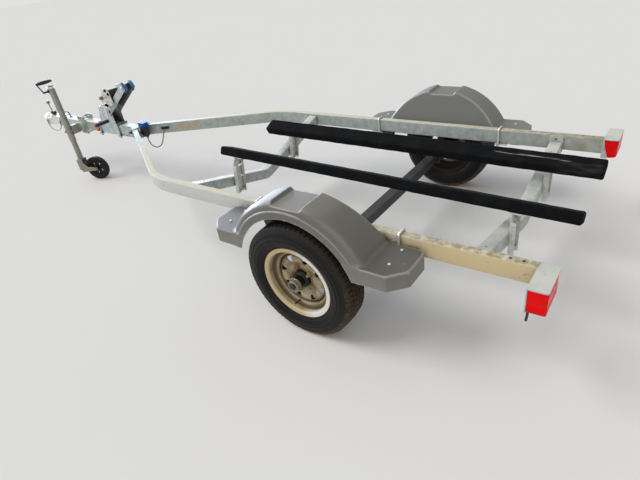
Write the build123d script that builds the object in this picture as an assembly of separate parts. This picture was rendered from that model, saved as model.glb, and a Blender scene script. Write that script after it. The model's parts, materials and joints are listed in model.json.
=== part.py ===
from build123d import *
import math
import os

# Boat trailer in millimetres. The source works from the wheel axis: +X to the
# coupler, +Y to the trailer's left, +Z up, floor at z = 0. Every node is moved
# by FRAME_X on export, so that the frame's origin is the middle of the footprint.

# Main sizes
FRAME_WIDTH = 1196.0
REAR_OVERHANG = 868.0
BEND_X = 1170.0
DRAW_RUN = 1020.0
TONGUE_LENGTH = 1187.0
COUPLER_REACH = 268.0
RAIL_TOP = 470.0
WHEEL_R = 269.0
WHEEL_OUTSET = 226.0

# Frame tubes
RAIL_W = 38.0
RAIL_H = 76.0
RAIL_WALL = 3.0
RAIL_Y = FRAME_WIDTH / 2 - RAIL_W / 2
RAIL_REAR = -REAR_OVERHANG
BEND_R = 450.0
DRAW_SLOPE = RAIL_Y / DRAW_RUN
CROSS_X = BEND_X + DRAW_RUN
TONGUE_W = 70.0
TONGUE_WALL = 3.5
TONGUE_REAR = CROSS_X - 115.0
TONGUE_FRONT = TONGUE_REAR + TONGUE_LENGTH
GUSSET_T = 4.0
GUSSET_REAR = CROSS_X - 105.0
GUSSET_FRONT = CROSS_X + 100.0

# Vee crossmembers: position of the aft web face, top height at the middle, rise
XM_DEPTH = 60.0
XM_H = 60.0
XM_T = 3.0
XM_LIP = 14.0
XM_TAB_T = 4.0
REAR_XM_X = RAIL_REAR + 178.0
REAR_XM_Z = 314.0
REAR_XM_END_Z = RAIL_TOP - 34.8
FRONT_XM_X = BEND_X - 310.0
FRONT_XM_Z = 302.0
FRONT_XM_END_Z = RAIL_TOP - 12.3

# Wheels
AXLE_Z = WHEEL_R
RIM_OUT_Y = FRAME_WIDTH / 2 + WHEEL_OUTSET
RIM_W = 113.0
RIM_R = 170.0
BEAD_R = 152.5
TYRE_W = 136.0
TREAD_W = 104.0
RIM_T = 4.0
DISC_Y = RIM_OUT_Y - 50.0
PCD_R = 57.15
LUG_COUNT = 5
SPOKE_COUNT = 8
SPINDLE_R = 15.0
CAP_R = 26.0
BORE_R = 41.0
DISC_TURN = 18.0
VALVE_ANGLE = -76.0
RUN_GAP = 0.05

# Axle and springs
BEAM = 50.0
BEAM_WALL = 5.0
BEAM_END_Y = RIM_OUT_Y - 169.0
SPRING_Y = RAIL_Y
SPRING_W = 44.0
LEAF_T = 6.0
EYE_X = 315.0
EYE_Z = 352.0
EYE_R = 13.0
PIN_R = 6.5
SEAT_T = 4.0

# Fenders
FENDER_IN_Y = FRAME_WIDTH / 2 + 14.0
FENDER_OUT_Y = RIM_OUT_Y - 3.0
FENDER_HALF_X = 491.0
FENDER_R = WHEEL_R + 103.0
FENDER_OPEN_R = WHEEL_R + 33.0
FENDER_T = 3.0
DECK_Z = RAIL_TOP - 30.0
SKIRT_H = 68.0
SKIRT_Z = DECK_Z - SKIRT_H
LEDGE_R = FENDER_R - 36.0
LEDGE_W = 4.0
SHOULDER_R = 34.0
DECK_ROUND = 6.0
DISH_HALF_X = 80.0
DISH_DROP = 23.0
DISH_Z = AXLE_Z + FENDER_R - DISH_DROP
DRAFT = 0.24
CHAMFER_OUT = 64.0
CHAMFER_IN = 22.0
BRACKET_X = 385.0

# Bunks: front and rear ends of the top face's centre line
BUNK_FRONT = (FRONT_XM_X + 106.0, 194.0, 521.0)
BUNK_REAR = (RAIL_REAR - 67.0, 214.0, 487.0)
BUNK_W = 88.0
BUNK_T = 50.0
BUNK_TILT = 23.5
POST_Y = 257.0
POST_W = 64.0
POST_T = 4.0
FRONT_LEAN = 8.0

# Winch post and winch
WINCH_X = CROSS_X + 182.0
POST_HALF_Y = 39.0
PLATE_T = 4.0
PIVOT = (WINCH_X, 580.0)
ARM_TOP = (WINCH_X - 281.0, 767.0)
ARM_DEPTH = 52.0
DRUM = (WINCH_X - 50.0, 700.0)
UBOLT_R = 5.0
UBOLT_Y = 44.3
ROLLER_R = 38.0

# Coupler
NOSE_X = TONGUE_FRONT + COUPLER_REACH
BALL_X = NOSE_X - 43.0
BALL_Z = RAIL_TOP - 58.0
BALL_R = 25.2

# Jack
JACK_X = TONGUE_FRONT - 404.0
JACK_Y = 171.0
JACK_TOP = 790.0
JACK_R = 25.0
LEG_R = 21.5
JACK_BOTTOM = 347.0
LEG_TOP = JACK_TOP - 170.0
LEG_BOTTOM = 187.0
STEM_TOP = LEG_BOTTOM + 45.0
SWING_Z = RAIL_TOP - 40.0
CASTER_ANGLE = 24.0
CASTER_TRAIL = 130.0
JOCKEY_R = 99.0
JOCKEY_W = 38.0
STEM_R = 10.0

# Lamps, plug and the move to the frame's origin
LAMP_DEPTH = 66.0
LENS_ROUND = 24.0
PLUG_X = TONGUE_REAR - 23.0
PLUG_Y = -4.0
PLUG_R = 21.0
FRAME_X = -(NOSE_X - REAR_OVERHANG - 67.1) / 2


def block(x0, x1, y0, y1, z0, z1):
    return Pos((x0 + x1) / 2, (y0 + y1) / 2, (z0 + z1) / 2) * Box(x1 - x0, y1 - y0, z1 - z0)


def rod(a, b, r):
    a, b = Vector(*a), Vector(*b)
    plane = Plane(origin=a, z_dir=(b - a))
    return extrude(plane * Circle(r), (b - a).length)


def plate_xz(points, y0, y1):
    face = make_face(Polyline(*[(x, y0, z) for x, z in points], close=True))
    return extrude(face, amount=y1 - y0, dir=(0, 1, 0))


def plate_yz(points, x0, x1):
    face = make_face(Polyline(*[(x0, y, z) for y, z in points], close=True))
    return extrude(face, amount=x1 - x0, dir=(1, 0, 0))


def plate_xy(points, z0, z1):
    face = make_face(Polyline(*[(x, y, z0) for x, y in points], close=True))
    return extrude(face, amount=z1 - z0, dir=(0, 0, 1))


def turned(points, y_axis_x, y_axis_z):
    # points are (radius, y) pairs, turned about the line along Y
    face = make_face(Polyline(*[(y_axis_x + r, y, y_axis_z) for r, y in points], close=True))
    return revolve(face, axis=Axis((y_axis_x, 0, y_axis_z), (0, 1, 0)))


def hex_head(a, b, across):
    a, b = Vector(*a), Vector(*b)
    plane = Plane(origin=a, z_dir=(b - a))
    return extrude(plane * RegularPolygon(across / math.sqrt(3), 6), (b - a).length)


def mirrored(shape):
    return mirror(shape, about=Plane.XZ)


def save(name, *shapes):
    solids = [s for shape in shapes for s in shape.solids()]
    whole = solids[0] if len(solids) == 1 else Compound(children=solids)
    export_step(Pos(FRAME_X, 0, 0) * whole, f"parts/{name}.step")


os.makedirs("parts", exist_ok=True)

# Side rails with their bend to the tongue
draw_angle = math.degrees(math.atan(DRAW_SLOPE))
rail_base = RAIL_TOP - RAIL_H
tongue_side = TONGUE_W / 2


def rail_plan(width):
    line = FilletPolyline(
        (RAIL_REAR, RAIL_Y), (BEND_X, RAIL_Y), (CROSS_X, 0), radius=BEND_R)
    return trace(line, width)


def along_draw(x, offset):
    # a point beside the slanted part's centre line, offset to the outside
    y = (CROSS_X - x) * DRAW_SLOPE
    return x + offset * math.sin(math.radians(draw_angle)), y + offset * math.cos(
        math.radians(draw_angle))


rail = Pos(0, 0, rail_base) * extrude(rail_plan(RAIL_W), RAIL_H)
core = Pos(0, 0, rail_base + RAIL_WALL) * extrude(
    rail_plan(RAIL_W - 2 * RAIL_WALL), RAIL_H - 2 * RAIL_WALL)
rail = rail - core - block(BEND_X + RAIL_Y, CROSS_X + RAIL_Y, -RAIL_Y, tongue_side, 0, 2 * RAIL_TOP)
SLOT_X = CROSS_X - 225.0
SLOT_Z = RAIL_TOP - 36.0
slot_x, slot_y = along_draw(SLOT_X, -RAIL_W / 2)
slot = extrude(Plane(origin=(slot_x, slot_y, SLOT_Z), x_dir=(-1, DRAW_SLOPE, 0),
                     z_dir=(DRAW_SLOPE, 1, 0)) * SlotOverall(72, 22), 8, both=True)
rail = rail - slot
for hole_x in (RAIL_REAR + 90, RAIL_REAR + 46):
    rail = rail - rod((hole_x, RAIL_Y, RAIL_TOP - 8), (hole_x, RAIL_Y, RAIL_TOP + 8), 6)
rail_left = rail

# Tongue, with a three-cornered hole in each side ahead of the rails
tongue = block(TONGUE_REAR, TONGUE_FRONT, -tongue_side, tongue_side, rail_base, RAIL_TOP)
tongue = tongue - block(
    TONGUE_REAR - 1, TONGUE_FRONT + 1, -tongue_side + TONGUE_WALL,
    tongue_side - TONGUE_WALL, rail_base + TONGUE_WALL, RAIL_TOP - TONGUE_WALL)
tongue = tongue - plate_xz(
    [(CROSS_X - 18, rail_base + 22), (CROSS_X + 50, rail_base + 22), (CROSS_X - 18, rail_base + 52)],
    -TONGUE_W, TONGUE_W)
save("tongue", tongue)

gusset_y = (CROSS_X - GUSSET_REAR) * DRAW_SLOPE + RAIL_W / 2 / math.cos(math.radians(draw_angle))
meet_x = CROSS_X - (tongue_side - RAIL_W / 2 / math.cos(math.radians(draw_angle))) / DRAW_SLOPE
gusset_plan = [
    (GUSSET_FRONT, tongue_side), (meet_x, tongue_side), (GUSSET_REAR, gusset_y),
    (GUSSET_REAR, -gusset_y), (meet_x, -tongue_side), (GUSSET_FRONT, -tongue_side)]
save("gussets",
     plate_xy(gusset_plan, RAIL_TOP, RAIL_TOP + GUSSET_T),
     plate_xy(gusset_plan, rail_base - GUSSET_T, rail_base))

# Blank label plate on the right rail's inner face
label_a = along_draw(CROSS_X - 490, -RAIL_W / 2)
label_b = along_draw(CROSS_X - 275, -RAIL_W / 2)
label = extrude(Plane(
    origin=((label_a[0] + label_b[0]) / 2, -(label_a[1] + label_b[1]) / 2, RAIL_TOP - 38),
    x_dir=(1, DRAW_SLOPE, 0), z_dir=(-DRAW_SLOPE, 1, 0)) * Rectangle(190, 58), 1.0)
save("rail_left", rail_left)
save("rail_right", mirrored(rail_left))
save("label_plate", label)


def crossmember(web_x, mid_z, end_z, bolt_x):
    end_y = RAIL_Y - RAIL_W / 2 - XM_TAB_T

    def band(top, bottom):
        return [(-end_y, end_z - top), (0, mid_z - top), (end_y, end_z - top),
                (end_y, end_z - bottom), (0, mid_z - bottom), (-end_y, end_z - bottom)]

    body = plate_yz(band(0, XM_H), web_x, web_x + XM_DEPTH)
    body = body - plate_yz(band(XM_T, XM_H - XM_T), web_x + XM_T, web_x + XM_DEPTH - XM_T)
    body = body - plate_yz(
        band(XM_LIP, XM_H - XM_LIP), web_x + XM_DEPTH - XM_T, web_x + XM_DEPTH + 1)
    for s in (1, -1):
        y0, y1 = sorted((s * end_y, s * (end_y + XM_TAB_T)))
        body = body + block(web_x - 4, web_x + XM_DEPTH + 4, y0, y1, rail_base - 14, RAIL_TOP - 4)
        bolt_z = RAIL_TOP - 22
        body = body + hex_head((bolt_x, s * end_y, bolt_z), (bolt_x, s * (end_y - 8), bolt_z), 17)
    return body


rear_xm = crossmember(REAR_XM_X, REAR_XM_Z, REAR_XM_END_Z, REAR_XM_X + 32)
front_xm = crossmember(FRONT_XM_X, FRONT_XM_Z, FRONT_XM_END_Z, FRONT_XM_X + 28)
save("crossmember_rear", rear_xm)
save("crossmember_front", front_xm)

# Axle beam with a stepped spindle at each end
beam_half = BEAM / 2
beam = block(-beam_half, beam_half, -BEAM_END_Y, BEAM_END_Y,
             AXLE_Z - beam_half, AXLE_Z + beam_half)
beam = beam - block(-beam_half + BEAM_WALL, beam_half - BEAM_WALL, -BEAM_END_Y, BEAM_END_Y,
                    AXLE_Z - beam_half + BEAM_WALL, AXLE_Z + beam_half - BEAM_WALL)
spindle = [(0, BEAM_END_Y - 55), (21, BEAM_END_Y - 55), (21, DISC_Y - 74),
           (SPINDLE_R, DISC_Y - 68), (SPINDLE_R, DISC_Y + 64), (0, DISC_Y + 64)]
spindle = turned(spindle, 0, AXLE_Z)
cap = block(-beam_half + 1, beam_half - 1, BEAM_END_Y - 10, BEAM_END_Y,
            AXLE_Z - beam_half + 1, AXLE_Z + beam_half - 1)
beam = beam + spindle + cap
beam = beam + mirrored(spindle + cap)
save("axle_beam", beam)


# Leaf springs
def leaf(radius, half_x, thickness, mid_z):
    # an arc bar, low in the middle
    centre_z = mid_z + radius
    angle = math.asin(half_x / radius)

    def arc_point(r, a):
        return (r * math.sin(a), SPRING_Y - SPRING_W / 2, centre_z - r * math.cos(a))

    outer_r = radius + thickness
    edges = [
        ThreePointArc(arc_point(radius, -angle), arc_point(radius, 0), arc_point(radius, angle)),
        Line(arc_point(radius, angle), arc_point(outer_r, angle)),
        ThreePointArc(arc_point(outer_r, angle), arc_point(outer_r, 0),
                      arc_point(outer_r, -angle)),
        Line(arc_point(outer_r, -angle), arc_point(radius, -angle))]
    return extrude(make_face(edges), amount=SPRING_W, dir=(0, 1, 0))


seat_z = AXLE_Z + beam_half
pack_low = seat_z + SEAT_T
main_mid = pack_low + 3 * LEAF_T
sag = EYE_Z - EYE_R - main_mid + 2
main_r = (EYE_X ** 2 + sag ** 2) / (2 * sag)
spring = leaf(main_r, EYE_X, LEAF_T, main_mid)
spring = spring + leaf(main_r + LEAF_T, EYE_X * 0.72, LEAF_T, main_mid - LEAF_T)
spring = spring + leaf(main_r + 2 * LEAF_T, EYE_X * 0.45, LEAF_T, main_mid - 2 * LEAF_T)
for s in (1, -1):
    spring = spring + rod((s * EYE_X, SPRING_Y - SPRING_W / 2, EYE_Z),
                          (s * EYE_X, SPRING_Y + SPRING_W / 2, EYE_Z), EYE_R)
    spring = spring - rod((s * EYE_X, SPRING_Y - 40, EYE_Z), (s * EYE_X, SPRING_Y + 40, EYE_Z),
                          PIN_R + 0.1)
save("spring_left", spring)
save("spring_right", mirrored(spring))

# Spring hangers, tie plate and U-bolts round the beam
hangers = None
for s in (1, -1):
    x = s * EYE_X
    for y0 in (SPRING_Y - SPRING_W / 2 - 5, SPRING_Y + SPRING_W / 2 + 1):
        ear = plate_xz([(x - 32, rail_base - 4), (x + 32, rail_base - 4), (x + 15, EYE_Z - 14),
                        (x - 15, EYE_Z - 14)], y0, y0 + 4)
        hangers = ear if hangers is None else hangers + ear
    hangers = hangers + block(x - 36, x + 36, SPRING_Y - SPRING_W / 2 - 5,
                              SPRING_Y + SPRING_W / 2 + 5, rail_base - 4, rail_base)
    hangers = hangers + rod((x, SPRING_Y - 36, EYE_Z), (x, SPRING_Y + 36, EYE_Z), PIN_R)
    for e in (1, -1):
        hangers = hangers + hex_head((x, SPRING_Y + e * (SPRING_W / 2 + 5), EYE_Z),
                                     (x, SPRING_Y + e * (SPRING_W / 2 + 12), EYE_Z), 19)
leg_x = beam_half + 6.0
leg_y = SPRING_W / 2 + 7.0
tie_z = main_mid + 1.0
clamp = block(-45, 45, SPRING_Y - 40, SPRING_Y + 40, tie_z, tie_z + 7)
for e in (1, -1):
    y = SPRING_Y + e * leg_y
    low_z = AXLE_Z - beam_half - 5.5
    for s in (1, -1):
        clamp = clamp + rod((s * leg_x, y, low_z), (s * leg_x, y, tie_z + 22), 5)
        clamp = clamp + hex_head((s * leg_x, y, tie_z + 7), (s * leg_x, y, tie_z + 16), 16)
    clamp = clamp + rod((-leg_x, y, low_z), (leg_x, y, low_z), 5)
    for s in (1, -1):
        clamp = clamp + Pos(s * leg_x, y, low_z) * Sphere(5)
pad = block(-26, 26, SPRING_Y - 24, SPRING_Y + 24, seat_z, seat_z + SEAT_T - 0.2)
save("spring_mounts_left", hangers, clamp, pad)
save("spring_mounts_right", mirrored(hangers), mirrored(clamp), mirrored(pad))

# Wheel: rim with a pressed spoke disc, tyre and hub
rim_in_y = RIM_OUT_Y - RIM_W
rim_profile = [
    (RIM_R, RIM_OUT_Y), (RIM_R, RIM_OUT_Y - RIM_T), (BEAD_R + 4, RIM_OUT_Y - 6),
    (BEAD_R, RIM_OUT_Y - 12), (BEAD_R, RIM_OUT_Y - 30), (128, RIM_OUT_Y - 42),
    (128, rim_in_y + 34), (BEAD_R, rim_in_y + 24), (BEAD_R, rim_in_y + 12),
    (BEAD_R + 4, rim_in_y + 6), (RIM_R, rim_in_y + RIM_T), (RIM_R, rim_in_y),
    (BEAD_R - 1, rim_in_y), (BEAD_R - RIM_T, rim_in_y + 10), (BEAD_R - RIM_T, rim_in_y + 22),
    (128 - RIM_T, rim_in_y + 32), (128 - RIM_T, RIM_OUT_Y - 40),
    (BEAD_R - RIM_T, RIM_OUT_Y - 28), (BEAD_R - RIM_T, RIM_OUT_Y - 10),
    (BEAD_R - 1, RIM_OUT_Y)]
rim = turned(rim_profile, 0, AXLE_Z)
disc_profile = [
    (BORE_R, DISC_Y), (74, DISC_Y), (88, DISC_Y + 12), (106, DISC_Y + 12), (126, DISC_Y - 8),
    (126, DISC_Y - 18), (122, DISC_Y - 18), (104, DISC_Y + 6), (90, DISC_Y + 6),
    (76, DISC_Y - 5), (BORE_R, DISC_Y - 5)]
disc = turned(disc_profile, 0, AXLE_Z)
window = Plane(origin=(0, DISC_Y - 30, AXLE_Z), x_dir=(1, 0, 0), z_dir=(0, 1, 0))
for i in range(SPOKE_COUNT):
    tri = make_face(Polyline((87, -3), (109, -14), (109, 14), (87, 3), close=True))
    disc = disc - extrude(window * Rot(0, 0, 360 / SPOKE_COUNT * i - DISC_TURN) * tri, 60)
for i in range(LUG_COUNT):
    hole = Rot(0, 0, 360 / LUG_COUNT * i) * Pos(PCD_R, 0) * Circle(7.5)
    disc = disc - extrude(window * hole, 60)
rim = rim + disc
valve_x = math.cos(math.radians(VALVE_ANGLE))
valve_z = math.sin(math.radians(VALVE_ANGLE))
rim = rim + rod((127 * valve_x, RIM_OUT_Y - 38, AXLE_Z + 127 * valve_z),
                (122 * valve_x, RIM_OUT_Y - 4, AXLE_Z + 122 * valve_z), 4)

tyre_y = RIM_OUT_Y - RIM_W / 2
half_t = TYRE_W / 2
half_b = RIM_W / 2 - RIM_T - 1
half_tread = TREAD_W / 2
tyre_outer = [
    (BEAD_R + 1, half_b - 14), (BEAD_R + 1, half_b - 6), (RIM_R - 8, half_b - 1),
    (RIM_R + 1, half_b), (RIM_R + 1, half_b + 5), (RIM_R + 10, half_t - 5),
    (RIM_R + 34, half_t), (RIM_R + 62, half_t - 3),
    (WHEEL_R - 16, half_tread + 8), (WHEEL_R - 5, half_tread), (WHEEL_R, half_tread - 10)]
groove = [(WHEEL_R, 33), (WHEEL_R - 7, 32), (WHEEL_R - 7, 28), (WHEEL_R, 27),
          (WHEEL_R, 13), (WHEEL_R - 7, 12), (WHEEL_R - 7, 8), (WHEEL_R, 7)]
tyre_side = tyre_outer + groove
tyre_inner = [
    (WHEEL_R - 18, half_tread - 16), (RIM_R + 40, half_t - 9), (RIM_R + 10, half_t - 14),
    (BEAD_R + 12, half_b - 14)]
tyre_points = [(r, tyre_y + a) for r, a in tyre_side]
tyre_points += [(r, tyre_y - a) for r, a in reversed(tyre_side)]
tyre_points += [(r, tyre_y - a) for r, a in reversed(tyre_inner)]
tyre_points += [(r, tyre_y + a) for r, a in tyre_inner]
tyre = turned(tyre_points, 0, AXLE_Z)

flange_y = DISC_Y - 5.0
hub_profile = [
    (SPINDLE_R + RUN_GAP, DISC_Y - 62), (34, DISC_Y - 62), (40, DISC_Y - 52),
    (40, flange_y - 9), (74, flange_y - 9),
    (74, flange_y), (28, flange_y), (28, DISC_Y + 46), (CAP_R, DISC_Y + 50),
    (CAP_R, DISC_Y + 73), (CAP_R - 6, DISC_Y + 80), (0, DISC_Y + 80), (0, DISC_Y + 72),
    (SPINDLE_R + RUN_GAP, DISC_Y + 72)]
hub = turned(hub_profile, 0, AXLE_Z)
for i in range(LUG_COUNT):
    a = math.radians(360 / LUG_COUNT * i)
    c = (PCD_R * math.cos(a), AXLE_Z - PCD_R * math.sin(a))
    hub = hub + rod((c[0], flange_y - 2, c[1]), (c[0], DISC_Y + 22, c[1]), 6)
    hub = hub + hex_head((c[0], DISC_Y, c[1]), (c[0], DISC_Y + 16, c[1]), 19)
save("tyre_left", tyre)
save("tyre_right", mirrored(tyre))
save("rim_left", rim)
save("rim_right", mirrored(rim))
save("hub_left", hub)
save("hub_right", mirrored(hub))


# Fenders: a wheel arch with a ledge, a humped crown over it with a dished step in
# the middle and a drafted inner wall, a deck at each end and a skirt all round
def fender_solid(inset):
    hx = FENDER_HALF_X - inset
    y0 = FENDER_IN_Y + inset
    y1 = FENDER_OUT_Y - inset
    co = CHAMFER_OUT - inset * 0.6
    ci = CHAMFER_IN - inset * 0.6
    floor_z = SKIRT_Z - (20 if inset else 0)
    plan = [(hx, y0 + ci), (hx, y1 - co), (hx - co, y1), (-hx + co, y1), (-hx, y1 - co),
            (-hx, y0 + ci), (-hx + ci, y0), (hx - ci, y0)]
    deck = plate_xy(plan, floor_z, DECK_Z - inset)
    deck = fillet(deck.edges().group_by(Axis.Z)[-1], DECK_ROUND - inset)
    keep = block(-hx, hx, y0 - 1, y1 + 1, SKIRT_Z, AXLE_Z + 2 * FENDER_R)
    arch = rod((0, y0, AXLE_Z), (0, y1, AXLE_Z), LEDGE_R - inset) & keep
    hump = rod((0, y0, AXLE_Z), (0, y1 - LEDGE_W, AXLE_Z), FENDER_R - inset)
    outer = hump.edges().filter_by(GeomType.CIRCLE).sort_by(Axis.Y)[-1]
    hump = fillet(outer, SHOULDER_R - inset) & keep
    top_z = AXLE_Z + 2 * FENDER_R
    hump = hump - block(-DISH_HALF_X - inset, DISH_HALF_X + inset, y0 - 1, y1 + 1,
                        DISH_Z - inset, top_z)
    wall = [(y0, DECK_Z), (y0 - 50, DECK_Z), (y0 - 50, top_z),
            (y0 + DRAFT * (top_z - DECK_Z), top_z)]
    return deck + ((arch + hump) - plate_yz(wall, -hx, hx))


fender = fender_solid(0) - fender_solid(FENDER_T)
wheel_side = FENDER_IN_Y + 52
fender = fender - rod((0, wheel_side, AXLE_Z), (0, FENDER_OUT_Y + 50, AXLE_Z), FENDER_OPEN_R)
for s in (1, -1):
    x0, x1 = sorted((s * (BRACKET_X - 32), s * (BRACKET_X + 34)))
    fender = fender - block(x0, x1, FENDER_IN_Y - 12, FENDER_IN_Y + 28, SKIRT_Z - 1, rail_base + 2)
BOLT_X = BRACKET_X + 20
BOLT_YS = (FENDER_IN_Y + 34, FENDER_IN_Y + 134)
for x, y in [(s * BOLT_X, y) for s in (1, -1) for y in BOLT_YS]:
    fender = fender - rod((x, y, DECK_Z - 8), (x, y, DECK_Z + 8), 4.5)
save("fender_left", fender)
save("fender_right", mirrored(fender))

# Fender brackets with their U-bolts over the rail
mounts = []
for s in (1, -1):
    x0, x1 = sorted((s * (BRACKET_X - 30), s * (BRACKET_X + 32)))
    low = rail_base - 5
    high = DECK_Z - FENDER_T - 5
    in_y = RAIL_Y - 31
    turn_y = FENDER_IN_Y + 10
    out_y = FENDER_OUT_Y - 31
    strip = plate_yz([(in_y, low), (turn_y, low), (turn_y + 12, high), (out_y, high),
                      (out_y, high + 5), (turn_y + 9, high + 5), (turn_y - 4, low + 5),
                      (in_y, low + 5)], x0, x1)
    ux = s * (BRACKET_X - 15)
    for e in (1, -1):
        strip = strip - rod((ux, RAIL_Y + e * 24.5, low - 2), (ux, RAIL_Y + e * 24.5, low + 8), 5.2)
    for y in BOLT_YS:
        x = s * BOLT_X
        strip = strip + rod((x, y, high), (x, y, DECK_Z + 5), 4)
        strip = strip + rod((x, y, DECK_Z), (x, y, DECK_Z + 5), 9)
    bow = rod((ux, RAIL_Y - 24.5, RAIL_TOP + 5.2), (ux, RAIL_Y + 24.5, RAIL_TOP + 5.2), 5)
    for e in (1, -1):
        y = RAIL_Y + e * 24.5
        bow = bow + rod((ux, y, low - 16), (ux, y, RAIL_TOP + 5.2), 5)
        bow = bow + Pos(ux, y, RAIL_TOP + 5.2) * Sphere(5)
        bow = bow + hex_head((ux, y, low - 9), (ux, y, low), 16)
    mounts += [strip, bow]
save("fender_mounts_left", *mounts)
save("fender_mounts_right", *[mirrored(m) for m in mounts])

# Tail lamps: lens under a folded guard
lamp_x = RAIL_REAR - LAMP_DEPTH
lamp_in = RAIL_Y - RAIL_W / 2
lamp_out = lamp_in + 159
guard_top = RAIL_TOP - 2
guard_low = rail_base - 22
guard = block(lamp_x, RAIL_REAR, lamp_in, lamp_out, guard_top - 4, guard_top)
guard = guard + block(RAIL_REAR - 4, RAIL_REAR, lamp_in, lamp_out, guard_low, guard_top)
guard = fillet(guard.edges().filter_by(Axis.Z).group_by(Axis.X)[0], 7)
guard = guard + plate_xz([
    (RAIL_REAR - 2, guard_top - 2), (RAIL_REAR - 6, guard_top - 6), (RAIL_REAR - 11, guard_low + 60),
    (RAIL_REAR - 20, guard_low + 30), (RAIL_REAR - 29, guard_low + 5),
    (RAIL_REAR - 26, guard_low), (RAIL_REAR - 2, guard_low)], lamp_in, lamp_in + 3)
lens = block(lamp_x, RAIL_REAR - 5, lamp_in + 4, lamp_out - 1, guard_low + 2, guard_top - 4.5)
lens_corners = lens.edges().filter_by(Axis.Z).group_by(Axis.X)[0].sort_by(Axis.Y)
lens = fillet(lens_corners[0], LENS_ROUND)
lens = fillet(lens.edges().filter_by(Axis.Z).sort_by(Axis.Y)[-2:], 4)
lens = lens + rod((RAIL_REAR - 10, lamp_out - 13, guard_low + 3),
                  (RAIL_REAR - 10, lamp_out - 13, guard_low - 42), 4.5)
save("lamp_guard_left", guard)
save("lamp_guard_right", mirrored(guard))
save("lamp_lens_left", lens)
save("lamp_lens_right", mirrored(lens))

# Bunks and their posts
bunk_len = BUNK_FRONT[0] - BUNK_REAR[0]
bunk_dir = (Vector(*BUNK_FRONT) - Vector(*BUNK_REAR)).normalized()
bunk_up = Vector(0, -math.sin(math.radians(BUNK_TILT)), math.cos(math.radians(BUNK_TILT)))
bunk_up = (bunk_up - bunk_dir * bunk_up.dot(bunk_dir)).normalized()
bunk_plane = Plane(origin=BUNK_REAR, x_dir=bunk_dir, z_dir=bunk_up)
bunk_true_len = (Vector(*BUNK_FRONT) - Vector(*BUNK_REAR)).length
bunk = bunk_plane * Pos(bunk_true_len / 2, 0, -BUNK_T / 2) * Box(bunk_true_len, BUNK_W, BUNK_T)
bunk = fillet(bunk.edges().filter_by(Axis.X, tolerance=5), 9)
save("bunk_left", bunk)
save("bunk_right", mirrored(bunk))


def bunk_post(web_x, low_z, side_y, lean, foot_z, slot_zs):
    k = (web_x - BUNK_REAR[0]) / bunk_len
    by = BUNK_REAR[1] + k * (BUNK_FRONT[1] - BUNK_REAR[1])
    bz = BUNK_REAR[2] + k * (BUNK_FRONT[2] - BUNK_REAR[2])
    base = Vector(web_x, by, bz) - bunk_up * BUNK_T
    half = POST_W / 2
    top_z = RAIL_TOP + 60
    channel = block(web_x - 24, web_x, side_y - half, side_y + half, low_z, top_z)
    channel = channel - block(web_x - 30, web_x - POST_T, side_y - half + POST_T,
                              side_y + half - POST_T, low_z - 1, top_z + 1)
    for z in slot_zs:
        slot_cut = Plane(origin=(web_x, side_y - 18, z), x_dir=(0, 1, 0), z_dir=(1, 0, 0))
        channel = channel - extrude(slot_cut * SlotOverall(26, 12), 12, both=True)
    channel = channel.rotate(Axis((web_x, side_y, foot_z), (0, 1, 0)), -lean)
    cap_plane = Plane(origin=base, x_dir=bunk_dir, z_dir=bunk_up)
    channel = channel - cap_plane * Pos(0, 0, 100) * Box(400, 400, 200 + 4)
    slant = [(side_y + half + 1, base.Z - 36), (side_y - half + 22, top_z + 30),
             (side_y + half + 60, top_z + 30), (side_y + half + 60, base.Z - 36)]
    channel = channel - plate_yz(slant, web_x - 80, web_x + 10)
    back = 12 + (base.Z - foot_z) * math.tan(math.radians(lean))
    cap = cap_plane * Pos(-back, 4, -2.55) * Box(56, 76, 5)
    return channel + cap


front_foot_z = FRONT_XM_Z - XM_H + (POST_Y - POST_W / 2) * (
    FRONT_XM_END_Z - FRONT_XM_Z) / (RAIL_Y - RAIL_W / 2 - XM_TAB_T)
posts = [bunk_post(REAR_XM_X, REAR_XM_Z - 49, POST_Y, 0, REAR_XM_Z, (371, 410)),
         bunk_post(FRONT_XM_X - 0.2, FRONT_XM_Z - 30, POST_Y, FRONT_LEAN, front_foot_z, (372, 440))]
save("bunk_posts_left", *posts)
save("bunk_posts_right", *[mirrored(post) for post in posts])

# Winch post: folded foot and base plate on the tongue, held by two U-bolts with
# tie plates, and an arm to the bow roller
foot_side = [(WINCH_X - 24, RAIL_TOP), (WINCH_X - 32, rail_base), (WINCH_X + 228, rail_base),
             (WINCH_X + 206, RAIL_TOP - 30), (WINCH_X + 136, PIVOT[1] + 32),
             (WINCH_X + 8, PIVOT[1] + 32), (WINCH_X - 20, PIVOT[1] - 5)]
foot = plate_xz(foot_side, tongue_side, POST_HALF_Y)
foot = foot + mirrored(foot)
foot = foot + plate_xz([
    (WINCH_X + 194, RAIL_TOP), (WINCH_X + 138, PIVOT[1] + 32), (WINCH_X + 132, PIVOT[1] + 32),
    (WINCH_X + 188, RAIL_TOP)], -POST_HALF_Y, POST_HALF_Y)
foot = foot + block(WINCH_X - 54, WINCH_X + 238, -tongue_side, tongue_side, RAIL_TOP, RAIL_TOP + 4)
for x in (WINCH_X - 38, WINCH_X + 220):
    bow_z = RAIL_TOP + 4 + UBOLT_R
    foot = foot + rod((x, -UBOLT_Y, bow_z), (x, UBOLT_Y, bow_z), UBOLT_R)
    foot = foot + block(x - 17, x + 17, -UBOLT_Y - 12, UBOLT_Y + 12, rail_base - 6, rail_base)
    for s in (1, -1):
        y = s * UBOLT_Y
        foot = foot + rod((x, y, rail_base - 20), (x, y, bow_z), UBOLT_R)
        foot = foot + Pos(x, y, bow_z) * Sphere(UBOLT_R)
        foot = foot + hex_head((x, y, rail_base - 15), (x, y, rail_base - 6), 16)
save("winch_foot", foot)

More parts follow.
